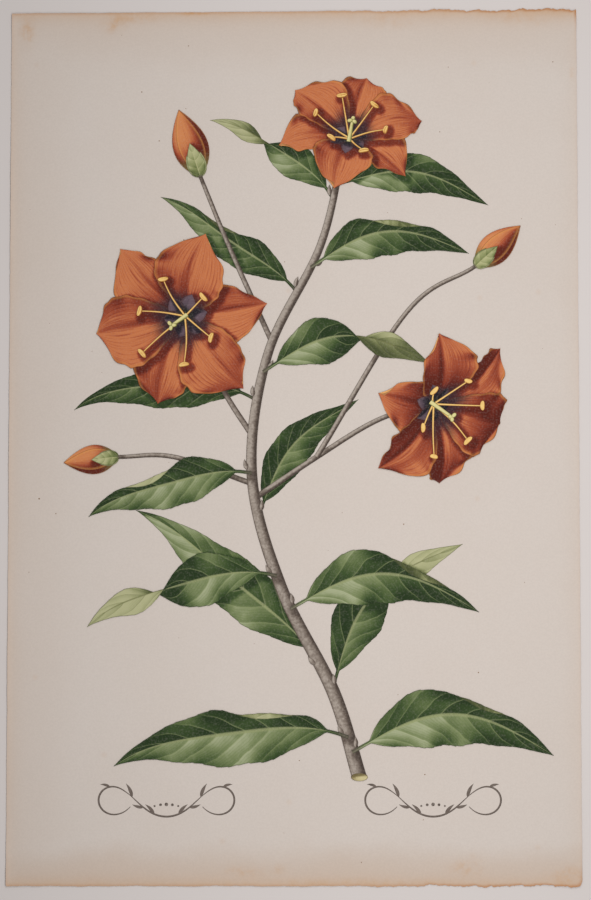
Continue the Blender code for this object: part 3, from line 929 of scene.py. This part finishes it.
leafMaterials = [makeLeafInk("leafInk", leafInk), makeLeafInk("underLeafInk", underLeafInk)]
paleLeafMaterials = [makeLeafInk("paleLeafInk", paleLeafInk, 4.0)] * 2
petalMaterials = [makePetalInk("petalInk", petalInk), makePetalInk("underPetalInk", underPetalInk)]
budMaterials = [makePetalInk("budInk", budInk)] * 2
heartMaterials = [makePetalInk("heartInk", heartInk)] * 2
barkMaterials = [makePlainInk("barkInk", barkInk, speckle=0.9)] * 2
woodMaterials = [makePlainInk("woodInk", woodInk, speckle=0.4, rings=0.22)] * 2
stamenMaterials = [
    makePlainInk("stamenInk", stamenInk, speckle=0.7, lineWidth=0.25),
    makePlainInk("pistilInk", pistilInk, speckle=0.3, lineWidth=0.25),
]
scrollMaterials = [makePlainInk("scrollInk", scrollInk, speckle=0.8, lineWidth=0.2)] * 2
print("inks ready")

# Flowers: heart, petal length, turn of the first petal, heading and lean of the axis, twig
flowers = [
    {
        "centre": (-66, 350), "length": 58, "turn": 12, "facing": 215, "lean": 24,
        "twig": [(-25, 274), (-44, 304), (-66, 350)],
    },
    {
        "centre": (84, 296), "length": 54, "turn": 40, "facing": -35, "lean": 46,
        "twig": [(-25, 236), (14, 262), (50, 284), (84, 296)],
    },
    {
        "centre": (34, 458), "length": 47, "turn": 75, "facing": 80, "lean": 40,
        "twig": [(30, 444), (32, 452), (34, 458)],
    },
]
bloomLook = {
    "rise": 0.30,
    "crease": 0.035,
    "cup": 0.10,
    "slowRuffle": 0.045,
    "quickRuffle": 0.028,
    "nibble": 0.018,
    "frontLight": 0.75,
    # whorls from the heart outwards, in the order they are drawn
    "whorls": [
        {
            "name": "drawnHeart{}", "node": "ink_bloom_{}_heart", "slot": "violet_ink", "petals": range(6),
            "halfWidth": 0.36, "size": 0.256, "ruffles": 0.3, "grid": (24, 12), "level": 12.2, "depth": 0.03,
        },
        {
            "name": "drawnBloom{}Inner", "node": "ink_bloom_{}_inner_petals", "slot": "orange_red_ink",
            "petals": (1, 3, 5), "halfWidth": 0.40, "size": 1.0, "ruffles": 1.0, "grid": (84, 36),
            "level": 10.6, "depth": 0.09,
        },
        {
            "name": "drawnBloom{}Outer", "node": "ink_bloom_{}_outer_petals", "slot": "deep_red_ink",
            "petals": (0, 2, 4), "halfWidth": 0.33, "size": 1.0, "ruffles": 1.0, "grid": (84, 36),
            "level": 9, "depth": 0.09,
        },
    ],
    "stamens": {
        "reach": 0.46, "rise": 0.42, "styleRise": 0.36, "level": 13.0, "antherHalfLength": 3.4,
        "antherHalfWidth": 1.5,
    },
}


# Points given along, across and up a flower's axis, leaned over and seen from above
def bloomPlace(bloom, angle, along, across, rise):
    turned = math.radians(angle)
    flatX = along * math.cos(turned) - across * math.sin(turned)
    flatY = along * math.sin(turned) + across * math.cos(turned)
    way = bloom["way"]
    tilt = math.radians(bloom["lean"])
    forward = flatX * way[0] + flatY * way[1]
    sideways = flatY * way[0] - flatX * way[1]
    seen = forward * math.cos(tilt) + rise * math.sin(tilt)
    depth = rise * math.cos(tilt) - forward * math.sin(tilt)
    x = bloom["centre"][0] + way[0] * seen - way[1] * sideways
    y = bloom["centre"][1] + way[1] * seen + way[0] * sideways
    return np.stack(np.broadcast_arrays(x, y, depth), axis=-1)


# A petal rises from the flower's heart, arches out, cups a little and ruffles at its margins
def petalSurface(bloom, number, look):
    length = bloom["length"] * look["size"]
    ruffles = look["ruffles"]
    steps, columns = look["grid"]
    share = np.linspace(0, 1, steps + 1)[:, None]
    across = np.linspace(-1, 1, columns + 1)[None, :]
    half = length * look["halfWidth"] * np.sin(math.pi * np.clip(share, 0.004, 0.999) ** 1.3) ** 0.72
    rise = length * bloomLook["rise"] * np.sin(math.pi * 0.8 * share**0.85)
    crease = -bloomLook["crease"] * length * np.exp(-((across / 0.16) ** 2)) * np.sin(math.pi * share)
    cup = bloomLook["cup"] * length * np.abs(across) ** 2.2 * np.sin(math.pi * share**1.5)
    phase = number * 2.3 + bloom["turn"]
    slow = bloomLook["slowRuffle"] * across**3 * np.sin(fullTurn * 2.6 * share + phase)
    quick = bloomLook["quickRuffle"] * across**4 * np.sin(fullTurn * 5.2 * share + 2 * phase)
    ruffle = ruffles * length * share**2 * (slow + quick)
    bites = np.sin(fullTurn * 6.5 * share + phase) * np.abs(across) ** 6
    nibble = 1 + bloomLook["nibble"] * ruffles * bites
    along = length * share * (1 - 0.05 * across**2)
    angle = bloom["turn"] + number * 60
    surface = bloomPlace(bloom, angle, along, across * half * nibble, rise + crease + cup + ruffle)
    return surface, {"along": share, "across": across, "edge": (1 - np.abs(across)) * half}


# Six stamens with their anthers, then the style and its three lobes over them
def stamenLayers(bloom):
    look = bloomLook["stamens"]
    length = bloom["length"]
    share = np.linspace(0, 1, 24)
    layers = []

    # a strand's route, half width, columns and groove, then its level over the first, depth and ink
    def add(route, halfWidth, columns, groove, above, depth, slot):
        shape = twigSurface(route, halfWidth, columns, groove)
        layers.extend(pressed(shape, look["level"] + above, depth, bloom["lamp"], (slot, slot)))

    for number in range(6):
        angle = bloom["turn"] + 30 + number * 60
        reach = length * look["reach"] * (1 + 0.12 * math.sin(number * 2.4))
        rise = length * look["rise"]
        bowed = 1.3 * math.sin(number * 1.9) * np.sin(math.pi * share)
        route = bloomPlace(bloom, angle, 1.5 + (reach - 1.5) * share, bowed, rise * (0.2 + 0.8 * share))
        add(route[:, :2], lambda s: 0.62 - 0.22 * s, 6, 0.0, 0.0, 0.02, 0)
        cross = look["antherHalfLength"] * np.linspace(-1, 1, 20)
        route = bloomPlace(bloom, angle, reach + 0.05 * cross**2, cross, rise)
        add(route[:, :2], rounded(look["antherHalfWidth"]), 10, 0.55, 0.6, 0.03, 0)
    top = length * look["styleRise"]
    style = bloomPlace(bloom, bloom["facing"], 3.5 * share, 0 * share, top * share)[:, :2]
    add(style, lambda s: 1.5 - 0.6 * s, 8, 0.0, 1.2, 0.02, 1)
    for turn in (0, 120, 240):
        lobe = bloomPlace(bloom, bloom["turn"] + turn, 3.4 * share, 0 * share, top + 0 * share)[:, :2]
        add(lobe + style[-1] - lobe[0], rounded(1.25, 0.4), 8, 0.3, 1.8, 0.02, 1)
    return layers


# A flower is lit a little more from its own front, as an engraver shades it
def bloomOf(flower):
    facing = math.radians(flower["facing"])
    lean = math.radians(flower["lean"])
    way = (math.cos(facing), math.sin(facing))
    axis = np.array([way[0] * math.sin(lean), way[1] * math.sin(lean), math.cos(lean)])
    return {**flower, "way": way, "lamp": np.array(press["light"]) + bloomLook["frontLight"] * axis}


def makeBlooms():
    blooms = [bloomOf(flower) for flower in flowers]
    for number, bloom in enumerate(blooms, 1):
        node = f"ink_bloom_{number}_stamens"
        makePiece(f"drawnStamens{number}", stamenLayers(bloom), stamenMaterials, node)
    for look, materials in zip(bloomLook["whorls"], (heartMaterials, petalMaterials, petalMaterials)):
        for number, bloom in enumerate(blooms, 1):
            layers = []
            for petal in look["petals"]:
                shape = petalSurface(bloom, petal, look)
                layers += pressed(shape, look["level"], look["depth"], bloom["lamp"])
            node = look["node"].format(number)
            makePiece(look["name"].format(number), layers, materials, node)


makeBlooms()
print("blooms ready")

budLook = {
    # buds: twig, heading, length and half width
    "buds": [
        ([(-14, 334), (-40, 392), (-58, 436)], 108, 44, 11),
        ([(14, 262), (70, 352), (112, 380)], 42, 38, 9.5),
        ([(-27, 246), (-74, 262), (-108, 262)], 186, 34, 9),
    ],
    "twist": 0.35,
    "petalDepth": 0.012,
    "sepalDepth": 0.02,
    # petals and sepals, the front one last: level, then where a petal starts and ends on its way
    # round, or how far a sepal spreads and its share of the bud's length and half width
    "petals": [(8.0, -1.53, -0.25), (8.0, 0.3, 1.53), (8.5, -0.85, 0.75)],
    "sepals": [(9.0, 30, 0.36, 0.30), (9.0, -30, 0.36, 0.30), (9.5, 0, 0.5, 0.5)],
}


# One petal of a closed bud: part of the way round a spindle, twisted as it goes up
def budSurface(root, heading, length, halfWidth, low, high):
    share = np.linspace(0, 1, 57)[:, None]
    part = np.linspace(-1, 1, 19)[None, :]
    half = np.maximum(0.3, halfWidth * np.sin(math.pi * np.clip(share, 0.001, 0.999) ** 0.85) ** 0.9)
    twist = budLook["twist"] * (share - 0.4)
    turned = (low + high) / 2 + (high - low) / 2 * part + twist * (1 - np.abs(part * 0.3))
    turned = np.clip(turned, -1.55, 1.55)
    along = length * share
    across = half * np.sin(turned)
    angle = math.radians(heading)
    x = root[0] + along * math.cos(angle) - across * math.sin(angle)
    y = root[1] + along * math.sin(angle) + across * math.cos(angle)
    surface = np.stack(np.broadcast_arrays(x, y, half * np.cos(turned)), axis=-1)
    edge = (1 - np.abs(part)) * half * (high - low) / 2
    return surface, {"along": share, "across": part, "edge": edge}


def makeBuds():
    buds = [(smoothPath(route, 14), *sizes) for route, *sizes in budLook["buds"]]
    for number, (path, heading, length, halfWidth) in enumerate(buds, 1):
        layers = []
        for level, spread, lengthShare, widthShare in budLook["sepals"]:
            shape = smallBlade(
                heading + spread, -spread * 0.9, length * lengthShare, halfWidth * widthShare, 14,
                roll=(spread * 0.5, spread * 0.3), rise=24, phase=number, wave=0.04,
            )
            layers += pressed(leafSurface(path[-1], shape, 36, 16), level, budLook["sepalDepth"])
        node = f"ink_bud_{number}_sepal"
        makePiece(f"drawnSepals{number}", layers, paleLeafMaterials, node)
    for number, (path, *sizes) in enumerate(buds, 1):
        layers = []
        for level, low, high in reversed(budLook["petals"]):
            layers += pressed(budSurface(path[-1], *sizes, low, high), level, budLook["petalDepth"])
        makePiece(f"drawnBud{number}", layers, budMaterials, f"ink_bud_{number}")
    return [path for path, *sizes in buds]


budPaths = makeBuds()
print("buds ready")

branch = {
    "path": [(40, 66), (24, 118), (-8, 182), (-26, 252), (-16, 326), (16, 392), (30, 448)],
    "rootWidth": 9.0,
    "tipWidth": 4.0,
    "twigWidth": 3.0,
    "cutRadii": (5.2, 2.4),
    "levels": {"cut": 8, "stem": 5, "budTwigs": 4, "bloomTwigs": 3},
    "depths": {"leaf": 0.045, "cut": 0.02, "stem": 0.02, "twig": 0.03, "axilBud": 0.01},
    # the scaly bud in a leaf's axil: how far it stands aside and ahead of the leaf's root, how it
    # leans and bends, and its length and half width
    "axilBud": {"aside": 2.6, "ahead": 2.4, "lean": 24, "bend": 20, "length": 6.5, "halfWidth": 1.7},
}
stemPath = smoothPath(branch["path"], 20)
leafKeys = ("place", "heading", "bend", "length", "halfWidth", "level", "roll", "rise", "droop")
# Leaves: place on the stem, heading, bend, length, half width, level, roll at root and tip,
# rise, droop, curl of the left and of the right edge as place and turn
leafRows = [
    (0.05, 30, -62, 134, 19, 6, (8, 16), 26, -36, (0.62, 120), (0.5, 0)),
    (0.08, 158, 58, 148, 20, 7, (-10, -30), 26, -40, (0.7, 0), (0.34, 130)),
    (0.17, 74, -52, 128, 17, 1, (14, 150), 30, -20, (0.5, 0), (0.5, 0)),
    (0.21, 120, 40, 150, 18, 2, (-16, -34), 26, -30, (0.5, 0), (0.5, 0)),
    (0.30, 30, -62, 126, 18, 6, (6, 34), 24, -44, (0.66, 150), (0.5, 0)),
    (0.35, 164, 62, 124, 17, 7, (-4, -156), 22, -30, (0.5, 0), (0.5, 0)),
    (0.44, 66, -34, 98, 13, 0, (20, 34), 30, -20, (0.5, 0), (0.5, 0)),
    (0.50, 168, 54, 106, 15, 6, (-12, -24), 24, -40, (0.5, 0), (0.6, 140)),
    (0.60, 146, 74, 118, 15, 1, (-20, -44), 20, -30, (0.5, 0), (0.5, 0)),
    (0.64, 34, -62, 112, 16, 7, (10, 158), 26, -30, (0.5, 0), (0.5, 0)),
    (0.76, 128, 34, 104, 13, 2, (-20, -34), 30, -14, (0.5, 0), (0.6, 110)),
    (0.80, 34, -58, 106, 15, 6, (10, 28), 24, -44, (0.55, 140), (0.5, 0)),
    (0.92, 116, 62, 94, 12, 1, (-10, -150), 20, -20, (0.5, 0), (0.5, 0)),
    (0.95, 14, -44, 100, 13, 2, (10, 34), 20, -36, (0.5, 0), (0.5, 0)),
]


def makeLeaves(levels):
    leaves = [(number, dict(zip(leafKeys, row)), row[-2:]) for number, row in enumerate(leafRows, 1)]
    for number, shape, curl in sorted(leaves, key=lambda leaf: -leaf[1]["level"]):
        if shape["level"] not in levels:
            continue
        shape.update(curl=curl, phase=number * 1.7, fold=22)
        surface = leafSurface(pointOn(stemPath, shape["place"]), shape)
        layers = pressed(surface, shape["level"], branch["depths"]["leaf"])
        makePiece(f"drawnLeaf{number:02d}", layers, leafMaterials, f"ink_leaf_{number:02d}")


# The cut end of the stem: a disc of pale wood seen at a slant
def makeCutEnd():
    wide, high = branch["cutRadii"]
    x = np.linspace(-0.999, 0.999, 33)[:, None]
    part = np.linspace(-1, 1, 15)[None, :]
    y = part * np.sqrt(1 - x**2)
    radius = np.sqrt(x**2 + y**2)
    place = stemPath[0]
    dish = 0.5 * radius**2 * wide
    surface = np.stack(np.broadcast_arrays(place[0] + x * wide, place[1] + y * high, dish), axis=-1)
    values = {"along": (x + 1) / 2, "across": part, "edge": (1 - radius) * wide * 0.7}
    layers = pressed((surface, values), branch["levels"]["cut"], branch["depths"]["cut"])
    makePiece("drawnCutEnd", layers, woodMaterials, "ink_cut_end")


# The stem with a small scaly bud in the axil of every leaf
def makeStem():
    taper = branch["tipWidth"] - branch["rootWidth"]
    level = branch["levels"]["stem"]
    bud = branch["axilBud"]
    layers = []
    for place, heading, *_ in leafRows:
        side = 1 if 90 < heading < 270 else -1
        ahead = pointOn(stemPath, min(1.0, place + 0.01)) - pointOn(stemPath, place)
        ahead /= np.linalg.norm(ahead)
        aside = np.array([-ahead[1], ahead[0]]) * side
        root = pointOn(stemPath, place) + aside * bud["aside"] + ahead * bud["ahead"]
        turn = math.degrees(math.atan2(ahead[1], ahead[0])) + side * bud["lean"]
        shape = smallBlade(turn, -side * bud["bend"], bud["length"], bud["halfWidth"], -20)
        layers += pressed(leafSurface(root, shape, 14, 8), level + 0.5, branch["depths"]["axilBud"])
    stem = twigSurface(stemPath, lambda s: (branch["rootWidth"] + taper * s) / 2, 16)
    layers += pressed(stem, level, branch["depths"]["stem"])
    makePiece("drawnStem", layers, barkMaterials, "ink_stem")


def makeTwigs():
    half = branch["twigWidth"] / 2
    bloomPaths = [smoothPath(flower["twig"], 12) for flower in flowers]
    for kind, paths, root in (("bud", budPaths, 1.1), ("bloom", bloomPaths, 1.2)):
        for number, path in enumerate(paths, 1):
            shape = twigSurface(path, lambda s: half * (root - 0.3 * s))
            layers = pressed(shape, branch["levels"][f"{kind}Twigs"], branch["depths"]["twig"])
            name = f"drawn{kind.capitalize()}Twig{number}"
            makePiece(name, layers, barkMaterials, f"ink_{kind}_{number}_twig")


makeCutEnd()
makeLeaves((6, 7))
makeStem()
makeTwigs()
makeLeaves((0, 1, 2))
print("branch ready")

ornament = {
    "places": {"left": (-78, 42), "right": (85, 42)},
    "strokeLength": 77.5,
    "stroke": 0.9,
    "depth": 0.01,
    "swing": 0.75,
    "curlFrom": 0.42,
    "curlTurn": 7.4,
    # leaflets on each half: place along the stroke, turn away from it, length and half width
    "leaflets": [(0.10, 38, 8, 1.0), (0.20, -42, 7, 0.9), (0.32, 40, 9, 1.05), (0.52, 46, 6, 0.8)],
}
beadRow = {
    "count": 7,
    "spacing": 0.0036,
    "largest": 0.0011,
    "smallest": 0.0004,
    "dip": 0.0022,
    "above": 7.4,
    "thickness": 0.00003,
}


# Half of an ornament: a stroke that swings out from the middle and rolls up in a scroll
def scrollPath(steps=96):
    point = np.zeros(2)
    path = [point]
    stride = ornament["strokeLength"] / steps
    for i in range(steps):
        share = (i + 0.5) / steps
        angle = ornament["swing"] * math.sin(fullTurn * share * 0.9)
        angle -= ornament["curlTurn"] * max(0.0, share - ornament["curlFrom"]) ** 1.35
        point = point + np.array([math.cos(angle), math.sin(angle)]) * stride
        path.append(point)
    return np.array(path)


def makeOrnaments():
    half = scrollPath()
    whole = np.vstack([half[:0:-1] * np.array([-1, 1]), half])
    thin = ornament["stroke"] / 2

    def swell(share):
        return thin * (0.45 + 0.85 * abs(math.sin(3 * math.pi * share)))

    for name, centre in ornament["places"].items():
        layers = pressed(twigSurface(whole + np.array(centre), swell, 6), 0, ornament["depth"])
        for share, turn, length, width in ornament["leaflets"]:
            start = pointOn(half, share)
            ahead = pointOn(half, share + 0.01) - start
            heading = math.degrees(math.atan2(ahead[1], ahead[0])) + turn
            for side in (1, -1):
                way = heading if side > 0 else 180 - heading
                shape = smallBlade(way, -turn * 0.8 * side, length, width, 10, droop=-10, stalk=0.2)
                root = np.array(centre) + start * np.array([side, 1])
                layers += pressed(leafSurface(root, shape, 20, 6), 0, ornament["depth"])
        node = f"ink_ornament_{name}"
        makePiece(f"drawnOrnament{name.capitalize()}", layers, scrollMaterials, node)


makeOrnaments()

specks = {
    "density": 330.0,
    "smallest": 0.00012,
    "largest": 0.00052,
    "thickness": 0.00001,
    "seed": 11,
    "colour": (132, 100, 74),
    "margin": 0.006,
}


def newGrowth(name, inputs):
    tree = bpy.data.node_groups.new(name, "GeometryNodeTree")
    tree.interface.new_socket("Geometry", in_out="INPUT", socket_type="NodeSocketGeometry")
    for label, kind in {**inputs, "Thickness": "Float", "Material": "Material"}.items():
        tree.interface.new_socket(label, in_out="INPUT", socket_type="NodeSocket" + kind)
    tree.interface.new_socket("Geometry", in_out="OUTPUT", socket_type="NodeSocketGeometry")
    return tree, tree.nodes.new("NodeGroupInput").outputs


spotSides = 12


# Flat spots of ink on the given points, made real and given their material
def spotsOn(tree, given, points, wide, slim, turned):
    inputs = {"Vertices": spotSides, "Radius": 1.0, "Depth": 1.0}
    disc = addNode(tree, "GeometryNodeMeshCylinder", None, inputs)
    inputs = {
        "Points": points, "Instance": disc.outputs["Mesh"], "Rotation": combine(tree, z=turned),
        "Scale": combine(tree, wide, slim, given["Thickness"]),
    }
    placed = addNode(tree, "GeometryNodeInstanceOnPoints", None, inputs).outputs[0]
    real = addNode(tree, "GeometryNodeRealizeInstances", None, {0: placed}).outputs[0]
    inputs = {"Geometry": real, "Material": given["Material"]}
    inked = addNode(tree, "GeometryNodeSetMaterial", None, inputs).outputs[0]
    tree.links.new(inked, tree.nodes.new("NodeGroupOutput").inputs["Geometry"])


def drawn(tree, low, high, seed):
    inputs = {2: low, 3: high, "Seed": seed}
    return addNode(tree, "FunctionNodeRandomValue", {"data_type": "FLOAT"}, inputs).outputs[1]


# Tiny blots scattered over whatever faces they are given
def scatterTree():
    inputs = {"Density": "Float", "Seed": "Int", "Smallest": "Float", "Largest": "Float"}
    tree, given = newGrowth("scatteredSpecks", inputs)
    inputs = {"Mesh": given["Geometry"], "Density": given["Density"], "Seed": given["Seed"]}
    spread = addNode(tree, "GeometryNodeDistributePointsOnFaces", None, inputs)
    wide = drawn(tree, given["Smallest"], given["Largest"], given["Seed"])
    slim = calc(tree, "MULTIPLY", wide, drawn(tree, 0.45, 1.0, 3))
    spotsOn(tree, given, spread.outputs["Points"], wide, slim, drawn(tree, 0.0, fullTurn, 5))
    return tree


# A row of beads that shrink and sink towards its ends
def beadTree():
    inputs = {"Count": "Int", "Spacing": "Float", "Smallest": "Float", "Largest": "Float", "Dip": "Float"}
    tree, given = newGrowth("beadRow", inputs)
    middle = calc(tree, "MULTIPLY_ADD", given["Count"], 0.5, -0.5)
    start = calc(tree, "MULTIPLY", calc(tree, "MULTIPLY", middle, given["Spacing"]), -1.0)
    inputs = {
        "Count": given["Count"], "Start Location": combine(tree, start),
        "Offset": combine(tree, given["Spacing"]),
    }
    line = addNode(tree, "GeometryNodeMeshLine", {"mode": "OFFSET"}, inputs).outputs[0]
    index = addNode(tree, "GeometryNodeInputIndex").outputs[0]
    away = calc(tree, "DIVIDE", calc(tree, "ABSOLUTE", calc(tree, "SUBTRACT", index, middle)), middle)
    sunk = calc(tree, "MULTIPLY", calc(tree, "MULTIPLY", away, away), given["Dip"])
    lower = combine(tree, y=calc(tree, "MULTIPLY", sunk, -1.0))
    arched = addNode(tree, "GeometryNodeSetPosition", None, {"Geometry": line, "Offset": lower}).outputs[0]
    fall = calc(tree, "SUBTRACT", given["Smallest"], given["Largest"])
    size = calc(tree, "MULTIPLY_ADD", away, fall, given["Largest"])
    spotsOn(tree, given, arched, size, size, 0.0)
    return tree


def grow(name, ground, tree, values, place=(0.0, 0.0, 0.0)):
    carrier = newObject(name + "Ground", ground)
    modifier = carrier.modifiers.new("grow", "NODES")
    modifier.node_group = tree
    for item in tree.interface.items_tree:
        if item.in_out == "INPUT" and item.name in values:
            modifier[item.identifier] = values[item.name]
    evaluated = carrier.evaluated_get(bpy.context.evaluated_depsgraph_get())
    mesh = bpy.data.meshes.new_from_object(evaluated)
    bpy.data.objects.remove(carrier)
    mesh.name = name
    mesh.transform(Matrix.Translation(place))
    piece = newObject(name, mesh)
    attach(piece, "root")


# Ink of a single colour, uneven with the grain of the paper under it
def makeSpotInk(name, colour):
    material, tree, shader = newMaterial(name)
    grain = useGroup(tree, grainGroup)
    thin = stepBetween(tree, grain["Fleck"], 0.35, 0.75, 0.0, 0.35)
    inked = mixColour(tree, thin, tint(*colour), tint(*paperLook["warm"]))
    paintWith(tree, shader, inked, grain["Height"], inkLook["relief"])
    return material


# The values of a dictionary under the names that a node group gives its inputs
def capitalized(values):
    return {key.capitalize(): value for key, value in values.items()}


def flatMesh(name, x, y, z):
    mesh = bpy.data.meshes.new(name)
    mesh.from_pydata([(-x, -y, z), (x, -y, z), (x, y, z), (-x, y, z)], [], [(0, 1, 2, 3)])
    return mesh


def makeSpecks():
    height = deckle["thickness"] + specks["thickness"] * 0.6
    margin = specks["margin"]
    ground = flatMesh("speckGround", sheetWide / 2 - margin, sheetLong / 2 - margin, height)
    values = {**capitalized(specks), "Material": makeSpotInk("foxing", specks["colour"])}
    grow("paperSpecks", ground, scatterTree(), values)


def makeBeads():
    tree = beadTree()
    values = {**capitalized(beadRow), "Material": makeSpotInk("beadInk", scrollInk["stops"][0][1])}
    for name, (x, y) in ornament["places"].items():
        place = (x * mm, (y + beadRow["above"]) * mm - sheetLong / 2, levelBase(0) * mm)
        empty = bpy.data.meshes.new("beadGround")
        grow(f"drawnBeads{name.capitalize()}", empty, tree, values, place)


makeBeads()
print("ornaments ready")
makeSpecks()
print("specks ready")

setting = {"board": (214, 207, 204), "size": 12.0, "low": -0.0001}


def makeFloor():
    half = setting["size"] / 2
    mesh = flatMesh("board", half, half, setting["low"])
    material, tree, shader = newMaterial("paleBoard", 0.9, 0.15)
    shader.inputs["Base Color"].default_value = tint(*setting["board"])
    mesh.materials.append(material)
    board = newObject("board", mesh)
    board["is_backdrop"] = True


lamps = {
    "place": (0.10, 0.0, 0.564),
    "wide": 0.34,
    "long": 1.06,
    "power": 3.66,
    "colour": (1.0, 0.985, 0.975),
    "sky": 0.30,
    "skyColour": (0.984, 0.982, 0.989, 1.0),
}


# A long soft lamp over the right half of the sheet, so that the left half falls off as photographed
def makeLights():
    data = bpy.data.lights.new("softbox", "AREA")
    data.shape = "RECTANGLE"
    data.size = lamps["wide"]
    data.size_y = lamps["long"]
    data.energy = lamps["power"]
    data.color = lamps["colour"]
    newObject("softbox", data).location = lamps["place"]
    world = bpy.data.worlds.new("studio")
    world.use_nodes = True
    background = world.node_tree.nodes["Background"]
    background.inputs["Color"].default_value = lamps["skyColour"]
    background.inputs["Strength"].default_value = lamps["sky"]
    bpy.context.scene.world = world


view = {"distance": 1.2335, "lens": 80.0, "film": 36.0, "tilt": 2.8, "aim": (0.0009, -0.0036)}


def makeCamera():
    data = bpy.data.cameras.new("camera")
    data.sensor_fit = "VERTICAL"
    data.sensor_height = view["film"]
    data.sensor_width = view["film"]
    data.lens = view["lens"]
    camera = newObject("camera", data)
    tilt = math.radians(view["tilt"])
    x, y = view["aim"]
    camera.location = (x, y - view["distance"] * math.sin(tilt), view["distance"] * math.cos(tilt))
    camera.rotation_euler = (tilt, 0.0, 0.0)
    bpy.context.scene.camera = camera


makeFloor()
makeLights()
makeCamera()
bpy.context.scene.view_settings.view_transform = "Standard"
print("stage ready")

boxes = {"cad": cadBox, "visual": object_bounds()}
boxes = {name: [[float(value) for value in corner] for corner in box] for name, box in boxes.items()}
